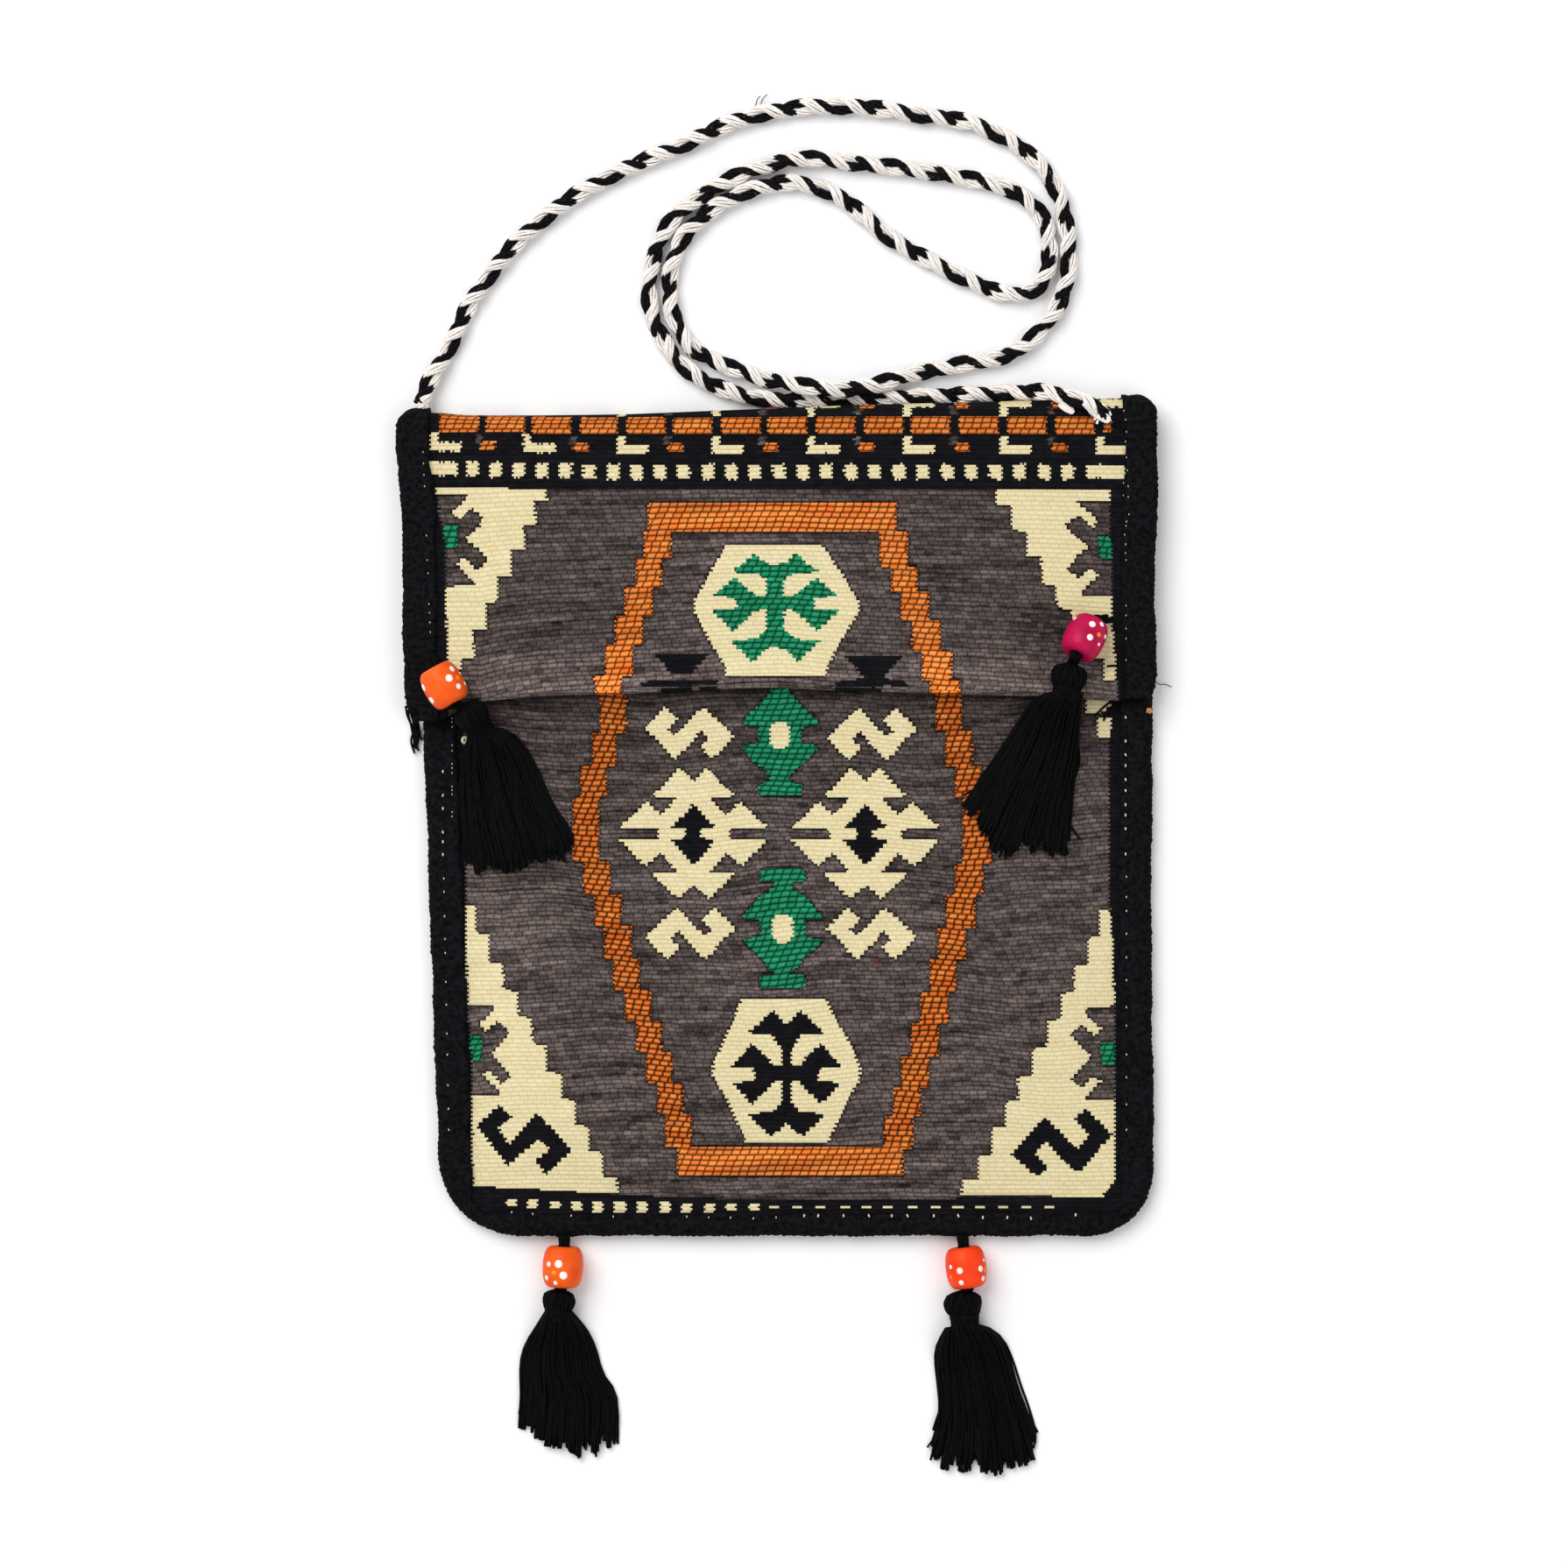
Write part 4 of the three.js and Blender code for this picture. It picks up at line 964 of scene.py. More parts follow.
CELL_X, CELL_Y = 0.66, RIB * CHART / 2
BACK_CELL, BACK_ROWS = 1.5, 186
SUNK = 0.2  # the woven surface starts this far inside the cloth's thickness
CLOTH_EDGE = 4.5  # the cloth's raw edge lies this far inside the binding's outer edge
FLOAT_LENGTH = 3.0
HEM_LIP = 0.7  # the flap's hem curls up by this much
# painted highlight along the flap's rolled hem, and the back's painted shading, which leaves its colour as it is
RIM_HIGHLIGHT, BACK_SHADING = 1.35, 1.0
BACK_LIFT = 0.4  # the back's woven surface stays this far off the underside of its solid
PUCKER_WAVES = 16
MERGED = 1e-6  # cells flatter than this are left out


def weave_place(x, along):
    """A place in the weave, in floats across and ribs down."""
    return np.stack([x / FLOAT_LENGTH, along / (RIB * CHART)], -1)


def chart_place(x, y):
    """A place on the chart, right and down."""
    return np.stack([chart_u(x), chart_v(y)], -1)


def soft(distance, width):
    """A soft swelling, full where the distance is nothing."""
    return np.exp(-((distance / width) ** 2))


def pucker_shading(x, y, slope, seed):
    """Painted light and shade of soft slanting pucker ridges, as a share of light, from a sum of waves that swell and
    fade along their run.
    """
    waves = np.random.default_rng(seed)
    total = np.zeros(x.shape)
    for _ in range(PUCKER_WAVES):
        turn, size, start, run, shift = waves.normal(slope, 0.13), *waves.uniform((5, 0, 30, 0), (14, 7, 70, 7))
        across = y * math.cos(turn) - x * math.sin(turn)
        total += np.sin(2 * math.pi * across / size + start) * (0.55 + 0.45 * np.sin(2 * math.pi * x / run + shift))
    return total / math.sqrt(PUCKER_WAVES)


def within_body(x, y):
    """The cells of a grid that lie inside the body's binding."""
    x, y = cell_middles(x), cell_middles(y)
    return (x > body_side("left", y, CLOTH_EDGE)) & (x < body_side("right", y, CLOTH_EDGE))


def open_cells(along):
    """The cells of a grid whose two sides both have some length."""
    rise = np.diff(along, axis=0)
    return (rise[:, :-1] > MERGED) & (rise[:, 1:] > MERGED)


def front_cloth():
    columns = np.arange(-121, 126, CELL_X)
    rows = np.concatenate([np.arange(-100.5, 88, CELL_Y), np.linspace(89, 163, 10)])  # coarse under the flap
    x, y = np.meshgrid(columns, rows)
    y = np.minimum(y, top_fold(x) - FRONT_DROP)
    points = np.stack([x, y, front_level(x, y) + CLOTH / 2 - SUNK], -1)
    keep = within_body(x, y) & open_cells(y)
    # painted light and shade: a painted shadow under the flap's hem, paler at the left, and darker again beside that
    below = flap_hem(x) - y
    painted_shading = 0.66 + 0.42 * np.clip(below / 45, 0, 1) - 0.3 * soft(below, 4.5)
    painted_shading += 0.3 * soft(x + 98, 18) * soft(y + 10, 60) - 0.12 * soft(x + 60, 16) * soft(y - 20, 60)
    painted_shading *= 1 + 0.3 * pucker_shading(x, y, slope=0.16, seed=4)
    # the rows ripple, less towards the foot
    ripple = 1.1 * np.sin(x / 17 + 1.3 * np.sin(y / 37)) + 0.45 * np.sin(x / 6.5 + y / 16)
    ripple *= np.clip((y + 84) / 30, 0.25, 1)
    mesh = cloth_mesh("front_cloth", points, weave_place(x, y - ripple), chart_place(x, y), keep, painted_shading)
    cloth = piece("front_cloth", mesh, "kilim", "front_panel")


def fold_at(x):
    """Where the fold at the top starts to turn, the height of its middle, and its outer radius."""
    top = top_fold(x)
    low, high = back_level(x, top), flap_level(x, top)
    radius = (high - low) / 2
    return top - CLOTH / 2 - radius, low + radius, radius + CLOTH / 2


def flap_cloth():
    columns = np.arange(-127, 128, CELL_X)
    rows = np.arange(70.5, 204, CELL_Y)
    x, along = np.meshgrid(columns, rows)
    along = np.maximum(along, flap_hem(x))
    start, middle, radius = fold_at(x)
    angle = np.clip((along - start) / radius, 0, math.pi)
    y = np.where(angle > 0, start + radius * np.sin(angle), along)
    z = np.where(angle > 0, middle + radius * np.cos(angle), flap_level(x, y) + CLOTH / 2 - SUNK)
    over = np.maximum(angle - math.pi / 2, 0) * radius
    seen = np.where(angle > math.pi / 2, start + radius, y)
    chart = np.stack([chart_u(x), chart_v(seen) - over / CHART], -1)
    above = along - flap_hem(x)
    points = np.stack([x, y, z + HEM_LIP * soft(above, 4)], -1)
    # painted light: paler at the hem and in the middle, with painted shade of puckers; the rows sag with the hem
    painted_shading = 0.82 + 0.7 * soft(above - 5, 9) + 0.35 * soft(x, 55) * soft(above - 45, 30)
    painted_shading *= 1 + 0.26 * pucker_shading(x, along, slope=0.06, seed=9)
    sag = np.clip(flap_hem(x) - 84, -4.5, 1) * np.clip((165 - along) / 70, 0, 1.2) * 1.5
    mx, my = cell_middles(x), cell_middles(np.minimum(along, 178))
    keep = (mx > flap_edge["left"](my) + CLOTH_EDGE) & (mx < flap_edge["right"](my) - CLOTH_EDGE)
    keep &= open_cells(along) & (cell_middles(angle) < math.pi - MERGED)
    main = cloth_mesh("flap_main", points, weave_place(x, along - sag), chart, keep, painted_shading, flap=True)
    # the rolled hem: over the edge and a little way back underneath
    across = columns[(columns > -116.5) & (columns < 119)]
    hem = flap_hem(across)
    top = flap_level(across, hem) + CLOTH / 2 - 0.1 + HEM_LIP
    profile = [(0.35, 0.0), (-0.25, -0.1), (-0.75, -0.5), (-0.85, -0.95), (-0.6, -1.45), (0.2, -1.75), (6, -1.85)]
    hem_y = np.stack([hem + dy for dy, _ in reversed(profile)])
    hem_z = np.stack([top + dz for _, dz in reversed(profile)])
    hem_x = np.broadcast_to(across, hem_y.shape)
    charted = chart_place(hem_x, np.broadcast_to(hem + 1, hem_y.shape))
    reach = np.array([-dz - dy for dy, dz in reversed(profile)])[:, None]
    keep = np.ones((len(profile) - 1, len(across) - 1), bool)
    points = np.stack([hem_x, hem_y, hem_z], -1)
    rim = cloth_mesh("flap_rim", points, weave_place(hem_x, hem - reach), charted, keep, RIM_HIGHLIGHT, flap=True)
    cloth = piece("flap_cloth", joined("flap_cloth", [main, rim]), "kilim", "back_and_flap")


def back_cloth():
    x, share = np.meshgrid(np.arange(-127, 128, BACK_CELL), np.linspace(0, 1, BACK_ROWS))
    start, _, radius = fold_at(x)
    y = BAG_BOTTOM + CLOTH_EDGE + share * (start - BAG_BOTTOM - CLOTH_EDGE)
    points = np.stack([x, y, back_level(x, y) - CLOTH / 2 + BACK_LIFT], -1)
    beyond = radius * math.pi / 2 + (start - y)
    chart = np.stack([chart_u(x), chart_v(start + radius) - beyond / CHART], -1)
    mesh = cloth_mesh("back_cloth", points, weave_place(x, y), chart, within_body(x, y), BACK_SHADING, turned=True)
    cloth = piece("back_cloth", mesh, "kilim", "back_and_flap")


front_cloth()
flap_cloth()
back_cloth()


# The binding: stops along its route, each with a point at the outer edge, the ways inward and to the
# inside of the bag, how far the tape wraps on the inside, its width, and how far its edge is drawn in
FLAP_STOPS, FOLD_STOPS, BODY_STOPS, CORNER_STOPS, FOOT_STOPS = 180, 24, 430, 80, 420
HEM_TAPER, TAPER_RUN = 2.6, 9
STEEPEST = 0.05  # bounds the tape's width where a corner turns level or upright


def binding_side(side):
    """The binding's stops from the flap's hem, round the fold, down the body and round its corner."""
    inward, up = np.array([INWARD[side], 0, 0.0]), np.array([0, 0, 1.0])
    radius = (FLAP_LEVEL - BACK_LEVEL) / 2
    edge = float(flap_edge[side](top_fold(0)))
    top, hem = float(top_fold(edge)), float(flap_hem(edge))
    fold_y, fold_z = top - CLOTH / 2 - radius, BACK_LEVEL + radius
    stops = []
    for i in range(FLAP_STOPS):
        y = hem + (fold_y - hem) * i / FLAP_STOPS
        taper = HEM_TAPER * max(0, 1 - (y - hem) / TAPER_RUN) ** 2
        stops.append((np.array([flap_edge[side](y), y, FLAP_LEVEL]), inward, -up, WRAP, BINDING_WIDTH, taper))
    for i in range(FOLD_STOPS + 1):
        angle = i / FOLD_STOPS * math.pi
        outside = np.array([0, math.sin(angle), math.cos(angle)])
        point = np.array([flap_edge[side](fold_y), fold_y, fold_z]) + outside * radius
        stops.append((point, inward, -outside, WRAP, BINDING_WIDTH, FOLD_ROUND * (1 - abs(math.cos(angle)))))
    corner_x, corner_y = corner_centre(side)
    front_top = top - FRONT_DROP
    for y in np.linspace(fold_y - 0.8, corner_y, BODY_STOPS)[:-1]:
        thick = np.clip((front_top + 10 - y) / 6, 0, 1)
        wrap = WRAP + (BODY_WRAP - WRAP) * thick
        stops.append((np.array([body_edge[side](y), y, BACK_LEVEL]), inward, up, wrap, BINDING_WIDTH, 0))
    for i in range(CORNER_STOPS + 1):
        angle = i / CORNER_STOPS * math.pi / 2
        to_centre = np.array([INWARD[side] * math.cos(angle), math.sin(angle), 0])
        radius = CORNER_RADIUS[side]
        point = np.array([corner_x, corner_y, BACK_LEVEL]) - to_centre * radius
        beside = radius - (radius - BINDING_WIDTH) / max(math.cos(angle), STEEPEST)
        below = radius - (radius - FOOT_WIDTH) / max(math.sin(angle), STEEPEST)
        stops.append((point, to_centre, up, BODY_WRAP, max(beside, below, CORNER_WIDTH), 0))
    return stops


TAPE_DEPTHS = [BINDING_WIDTH, 9.8, 8.2, 6.6, 5.0]  # in from the outer edge, on each face of the tape
SEAM_DEPTH, SEAM_WIDTH, SEAM_SINK = 8.2, 1.2, 0.35  # the stitched line pulls the tape in
NOSE_STEPS = 10
TAPE_REST = 0.05  # no point of the tape comes nearer to the floor


def binding_tape():
    left, right = binding_side("left"), binding_side("right")
    (a, inward, up, wrap, width, _), b = left[-1], right[-1][0]
    foot = [(a + (b - a) * i / FOOT_STOPS, inward, up, wrap, width, 0) for i in range(1, FOOT_STOPS)]
    stops = left + foot + right[::-1]
    point, inward, inside = (np.array([s[i] for s in stops]) for i in range(3))
    wrap, width, inset = (np.array([s[i] for s in stops], float) for i in range(3, 6))
    along = np.concatenate([[0], np.cumsum(np.linalg.norm(np.diff(point, axis=0), axis=1))])
    half, middle = (wrap + WRAP) / 2, (wrap - WRAP) / 2
    # across the tape: the inner face, the round nose and the outer face, with its raw edges turned in
    profile = [(1, BINDING_WIDTH, TAPE), *((1, d, 0.0) for d in TAPE_DEPTHS)]
    profile += [(None, (0.5 - i / NOSE_STEPS) * math.pi, 0.0) for i in range(NOSE_STEPS + 1)]
    profile += [*((-1, d, 0.0) for d in reversed(TAPE_DEPTHS)), (-1, BINDING_WIDTH, TAPE)]
    ripple = 0.16 * np.sin(along / 1.9 + 2 * np.sin(along / 13)) + 0.12 * np.sin(along / 4.7 + 1)
    edge = 0.14 * np.sin(along / 3.1 + 1.5 * np.sin(along / 17)) + 0.16 * np.sin(along / 7.7)
    uneven = np.convolve(rng.normal(0, 1, len(along) + 2), (0.25, 0.5, 0.25), "valid")
    edge += 0.12 * np.sin(along / 0.29 + 3 * np.sin(along / 11)) + 0.2 * uneven
    ripple += 0.14 * uneven
    rows = []
    for side, depth, sunk in profile:
        if side is None:
            out, rise = BINDING_NOSE * (1 - math.cos(depth)), math.sin(depth)
            pucker = ripple * 0.6 - edge * math.cos(depth)
            place = point + inward * (out + inset * (1 - out / BINDING_WIDTH) + edge * math.cos(depth) * 0.9)[:, None]
            place = place + inside * (middle + half * rise + pucker * rise * 0.5)[:, None]
        else:
            lip = 0.35 * np.sin(along / 5.3) + 0.2 * np.sin(along / 2.1) if depth == BINDING_WIDTH else 0
            lift = ripple * (0.4 + 0.6 * (BINDING_WIDTH - depth) / 7) - sunk
            lift = lift - SEAM_SINK * soft(depth - SEAM_DEPTH, SEAM_WIDTH)
            deep = BINDING_NOSE + (depth - BINDING_NOSE) * (width - BINDING_NOSE) / (BINDING_WIDTH - BINDING_NOSE)
            place = point + inward * (deep + lip + inset * (1 - deep / BINDING_WIDTH))[:, None]
            place = place + inside * (middle + side * (half + lift))[:, None]
        rows.append(place)
    grid = above_floor(np.stack(rows, 1), TAPE_REST)
    mesh, _ = mesh_of("binding", grid.reshape(-1, 3), grid_faces(len(stops), len(profile)), [BLACK_TAPE])
    piece("binding_tape", mesh, "black_tape", "edge_binding")


binding_tape()


# Beads and tassels: the place where the cord is sewn on, the bead's place, turn and tilt, the ends of the
# head, the outlines of the skirt on the chart, the size of the knot, how far it bulges and which way, the
# stray threads, and the white dots and yellow eyes of the bead as places from its middle with their radius
BEAD_RADIUS, BEAD_END_RADIUS, BEAD_LENGTH, BEAD_HOLE = 7, 4.5, 14, 2.6
HEAD_RADIUS, TASSEL_GAP = 5.7, 0.9
TASSELS = [
    {
        "name": "flap_left", "paint": "orange_bead", "sewn": (-117.6, 93.6, 14.6), "bead": (-113.0, 84.6),
        "turn": 29, "raise": 0, "head": (-106.4, 77.6), "neck": (-100.4, 69.3),
        "left": [(540, 831), (534, 850), (530, 870), (527.5, 905), (530, 949), (535, 978)],
        "right": [(559, 831), (580, 836), (599, 857), (618, 891), (634, 922), (651, 951), (653, 962)],
        "foot": [(535, 981), (547, 988), (559, 981), (575, 986), (590, 983), (612, 974), (638, 975), (653, 962)],
        "knot": (1.04, 0.06, 2.6),
        "strays": [
            [(541, 965), (546, 985), (556, 992)], [(640, 945), (641, 965), (638, 983)],
            [(545, 950), (540, 975), (546, 997)],
        ],
        "dots": [(3.1, 5.6, 1.1), (2.25, 2.4, 1.35), (5.4, -0.4, 1.0), (7.6, 0.75, 0.8), (5.8, 4.2, 0.6),
                 (-6.8, -0.9, 1.3), (-4.0, -5.25, 1.3)],
        "eyes": [(5.1, 2.55, 0.85)],
    },
    {
        "name": "flap_right", "paint": "crimson_bead", "sewn": (114.2, 107.4, 13.2), "bead": (105.2, 100.8),
        "turn": -27, "raise": 22, "head": (100.9, 91.6), "neck": (98.9, 81.9),
        "left": [(1206, 790), (1183, 797), (1166, 822), (1142, 860), (1121, 889), (1108, 909)],
        "right": [(1234, 791), (1231, 806), (1228, 833), (1226, 866), (1221, 904), (1219, 939), (1218, 968)],
        "foot": [(1108, 909), (1116, 926), (1128, 940), (1136, 958), (1149, 967), (1172, 962), (1196, 965),
                 (1217, 965)],
        "knot": (1.1, 0.05, 0.5),
        "strays": [
            [(1150, 868), (1126, 893), (1099, 908)], [(1146, 880), (1128, 905), (1112, 923)],
            [(1150, 900), (1134, 932), (1119, 955)], [(1212, 920), (1220, 940), (1232, 957)],
            [(1228, 835), (1232, 868), (1226, 892)], [(1158, 930), (1150, 958), (1147, 981)],
            [(1218, 930), (1214, 950), (1219, 976)],
        ],
        "dots": [(2.35, 4.5, 1.2), (5.7, 4.5, 0.9), (1.5, 0, 1.15), (6.9, 0.27, 0.8), (4.6, -2.4, 0.6),
                 (-3.45, 6.6, 0.8)],
        "eyes": [(4.6, 0.85, 0.85)],
    },
    {
        "name": "bottom_left", "paint": "orange_bead", "sewn": (-72.3, -103.9, 5.7), "bead": (-72.9, -114.4),
        "turn": -3, "raise": 0, "head": (-74.4, -122.6), "neck": (-74.9, -131),
        "left": [(622, 1499), (611, 1519), (599, 1543), (596.5, 1591), (594, 1621)],
        "right": [(652, 1498), (668, 1520), (676, 1539), (685, 1571), (699, 1591), (703, 1616), (702, 1640)],
        "foot": [(594, 1622), (604, 1632), (618, 1640), (631, 1645), (645, 1646), (657, 1656), (672, 1657),
                 (687, 1647), (702, 1641)],
        "knot": (1.0, 0.08, 3.4),
        "strays": [
            [(687, 1568), (702, 1600), (705, 1625), (702, 1642)], [(601, 1600), (593, 1622), (597, 1632)],
            [(660, 1630), (655, 1650), (659, 1664)],
        ],
        "dots": [(-4.7, 1.3, 0.9), (-1.26, 1.5, 1.4), (0.42, -2.46, 1.4), (-2.4, -5.1, 0.75), (-5.46, -3.45, 0.9)],
        "eyes": [(-2.85, -1.56, 0.85)],
    },
    {
        "name": "bottom_right", "paint": "red_bead", "sewn": (64.2, -103.9, 5.7), "bead": (65.2, -114.6),
        "turn": 7, "raise": 0, "head": (64.8, -123), "neck": (64.7, -133),
        "left": [(1080, 1517), (1071, 1539), (1069.5, 1555), (1072.5, 1585), (1073, 1618), (1065, 1648)],
        "right": [(1116, 1513), (1133, 1520), (1145, 1534), (1153, 1553), (1163, 1585), (1174, 1613), (1184, 1641)],
        "foot": [(1065, 1649), (1075, 1668), (1098, 1673), (1115, 1668), (1130, 1677), (1142, 1673), (1169, 1664),
                 (1184, 1642)],
        "knot": (1.16, 0.14, 0.2),
        "strays": [
            [(1076, 1620), (1066, 1645), (1059, 1655)], [(1100, 1640), (1096, 1668), (1100, 1684)],
            [(1128, 1640), (1132, 1670), (1137, 1688)], [(1172, 1610), (1183, 1640), (1181, 1656)],
            [(1150, 1640), (1156, 1660), (1164, 1672)],
        ],
        "dots": [(-5.4, 0.45, 0.75), (-2.34, -0.69, 1.15), (-1.8, -4.8, 0.9), (4.9, -0.06, 1.1), (6.0, 2.7, 0.6),
                 (5.8, -3.5, 0.9)],
        "eyes": [(6.3, -0.7, 0.8), (-5.3, -2.85, 0.5)],
    },
]


def resting_height(x, y, radius):
    """Height of the middle of a round piece that rests at a place."""
    i, j = np.meshgrid(np.linspace(-1, 1, 9) * radius, np.linspace(-1, 1, 9) * radius)
    under = radius**2 - i**2 - j**2
    top = top_at(x + i, y + j)
    height = np.where((under >= 0) & (top > 0), top + np.sqrt(np.maximum(under, 0)) + TASSEL_GAP, radius)
    return float(height.max())


def ways_across(way):
    """The ways aside and up from the way along a piece."""
    side = np.cross(way, (0, 0, 1.0))
    side /= np.linalg.norm(side)
    return side, np.cross(side, way)


def bead_frame(tassel):
    """The bead's centre, and the ways along its hole, aside and up."""
    x, y = tassel["bead"]
    turn, lift = math.radians(tassel["turn"]), math.radians(tassel["raise"])
    way = np.array([math.cos(lift) * math.sin(turn), -math.cos(lift) * math.cos(turn), math.sin(lift)])
    way /= np.linalg.norm(way)
    return np.array([x, y, resting_height(x, y, BEAD_RADIUS)]), way, *ways_across(way)


def bead_radius(along):
    """The barrel's radius, by the distance from its middle as a share of half its length."""
    share = np.clip(np.abs(along), 0, 1)
    return BEAD_END_RADIUS + (BEAD_RADIUS - BEAD_END_RADIUS) * np.sqrt(np.maximum(1 - share**2.3, 0))


# A painted dot, from its middle to its rim: shares of its radius, and heights above the bead
DOT_RINGS = np.array([0.02, 0.35, 0.65, 0.85, 0.96, 1.0])
DOT_HEIGHTS = np.array([0.16, 0.16, 0.14, 0.10, 0.04, -0.1])[:, None]
DOT_LIMIT = 0.93  # dots keep within this share of the bead's half length
DOT_ROUNDS = 10  # of closing in on a dot's place along the bead


def bead(tassel):
    centre, way, side, up = bead_frame(tassel)
    half = BEAD_LENGTH / 2
    around = np.linspace(0, 2 * math.pi, 49)
    stations = np.sin(np.linspace(-math.pi / 2, math.pi / 2, 25))
    profile = [(BEAD_HOLE, -0.9 * half), (BEAD_HOLE, -0.985 * half), (BEAD_HOLE + 0.3, -half)]
    profile += [(float(bead_radius(s)) - 0.25 * abs(s) ** 12, s * half) for s in stations]
    profile += [(BEAD_HOLE + 0.3, half), (BEAD_HOLE, 0.985 * half), (BEAD_HOLE, 0.4 * half)]

    def at(angle, radius, along):
        angle, radius, along = np.broadcast_arrays(angle, radius, along)
        ring = side * (np.cos(angle) * radius)[..., None] + up * (np.sin(angle) * radius)[..., None]
        return centre + way * along[..., None] + ring

    grid = np.stack([at(around, r, along) for r, along in profile])
    faces = grid_faces(*grid.shape[:2], turned=True)
    meshes = [mesh_of("bead", grid.reshape(-1, 3), faces, [BEAD_PAINT[tassel["paint"]]])[0]]
    level = math.hypot(way[0], way[1])
    for paint, dots in ((WHITE_PAINT, tassel["dots"]), (YELLOW_PAINT, tassel["eyes"])):
        for dx, dy, size in dots:
            offset = np.array([dx, dy, 0.0])
            ahead, across = float(offset @ way) / level, float(offset @ side)
            along, limit = ahead, DOT_LIMIT * half
            for _ in range(DOT_ROUNDS):
                along = float(np.clip(along, -limit, limit))
                radius = float(bead_radius(along / half))
                angle = math.acos(np.clip(across / radius, -0.985, 0.985))
                along = (ahead + way[2] * radius * math.sin(angle)) / level
            along = float(np.clip(along, -limit, limit))
            turn, out = np.meshgrid(np.linspace(0, 2 * math.pi, 17), size * DOT_RINGS)
            dot_along = along + out * np.sin(turn)
            dot_angle = np.clip(angle + out * np.cos(turn) / radius, 0, math.pi)
            place = at(dot_angle, bead_radius(dot_along / half) + DOT_HEIGHTS, dot_along)
            meshes.append(mesh_of("dot", place.reshape(-1, 3), grid_faces(*place.shape[:2]), [paint])[0])
    piece("bead_" + tassel["name"] + "_painted", joined("bead", meshes), tassel["paint"], "bead_" + tassel["name"])


CORD_STEP, CORD_TURN, CORD_PLIES = 0.8, 2.6, 3
CORD_ASIDE, PLY_ASIDE, CORD_PLY = 0.85, 0.52, 0.72  # of each strand, of its plies, and their radius


def tassel_cord(tassel):
    """A cord of two twisted strands, from the binding through the bead to the tassel's head."""
    centre, way, side, _ = bead_frame(tassel)
    head_x, head_y = tassel["head"]
    head = np.array([head_x, head_y, resting_height(head_x, head_y, HEAD_RADIUS)])
    reach = way * BEAD_LENGTH / 2
    plies = []
    for shift in (-CORD_ASIDE * side, CORD_ASIDE * side):
        stops = [centre - reach, centre, centre + reach, head]
        route = [np.array(tassel["sewn"]) + shift * 1.2, *(stop + shift for stop in stops)]
        strand = curve_through(route, CORD_STEP)[0]
        _, aside, above = frames_along(strand)
        for k in range(CORD_PLIES):
            angle = np.arange(len(strand)) * CORD_STEP / CORD_TURN + k * 2 * math.pi / CORD_PLIES
            plies.append(strand + PLY_ASIDE * (aside * np.cos(angle)[:, None] + above * np.sin(angle)[:, None]))
    mesh = threads("cord", plies, CORD_PLY, 5, BLACK_THREAD)
    piece("cord_" + tassel["name"] + "_twisted", mesh, "black_thread", "tassel_cord_" + tassel["name"])


LOOSE_STEP, LOOSE_REST, LOOSE_GAP = 0.6, 1.0, 0.35  # spacing of points, least height, and gap below


def loose_thread(route):
    """A thread lying along a route on the chart, just above what is under it."""
    points = [(*plan(u, v), 0.0) for u, v in route]
    line = curve_through(points, LOOSE_STEP)[0]
    line[:, 2] = np.maximum(top_at(line[:, 0], line[:, 1]), LOOSE_REST) + LOOSE_GAP
    line[:, 2] = np.convolve(np.pad(line[:, 2], 3, mode="edge"), np.ones(7) / 7, "valid")
    return line


# The head's outline, as shares of its length and of its radius
HEAD_OUTLINE = np.array(
    [(0.0, 0.25), (0.06, 0.6), (0.16, 0.88), (0.4, 1.0), (0.68, 0.9), (0.85, 0.7), (1.0, 0.74), (1.25, 0.7)]
)
HEAD_THREADS, SKIRT_THREADS, WISPS = 72, 460, 34
TIE_TURNS, TIE_POINTS = 5, 90
SKIRT_POINTS = 12
SKIRT_THREAD, STRAY_THREAD = 0.44, 0.36  # radii
SKIRT_DEPTH, SKIRT_THINNING = 5.6, 2.6  # how thick the skirt lies below the neck, and how much less at its foot
SKIRT_GAP, SKIRT_LEAST = 0.5, 0.45  # between the skirt and what it lies on
NECK_REACH = 4.6  # how far the skirt's threads spread up and down at the neck
THREAD_REST, CORE_REST = 0.5, 0.1  # least heights above the floor


def along_line(line, share):
    """Places on a line in the plan, by shares of its length."""
    where = np.asarray(share) * (len(line) - 1)
    return np.stack([np.interp(where, np.arange(len(line)), line[:, i]) for i in range(2)], -1)


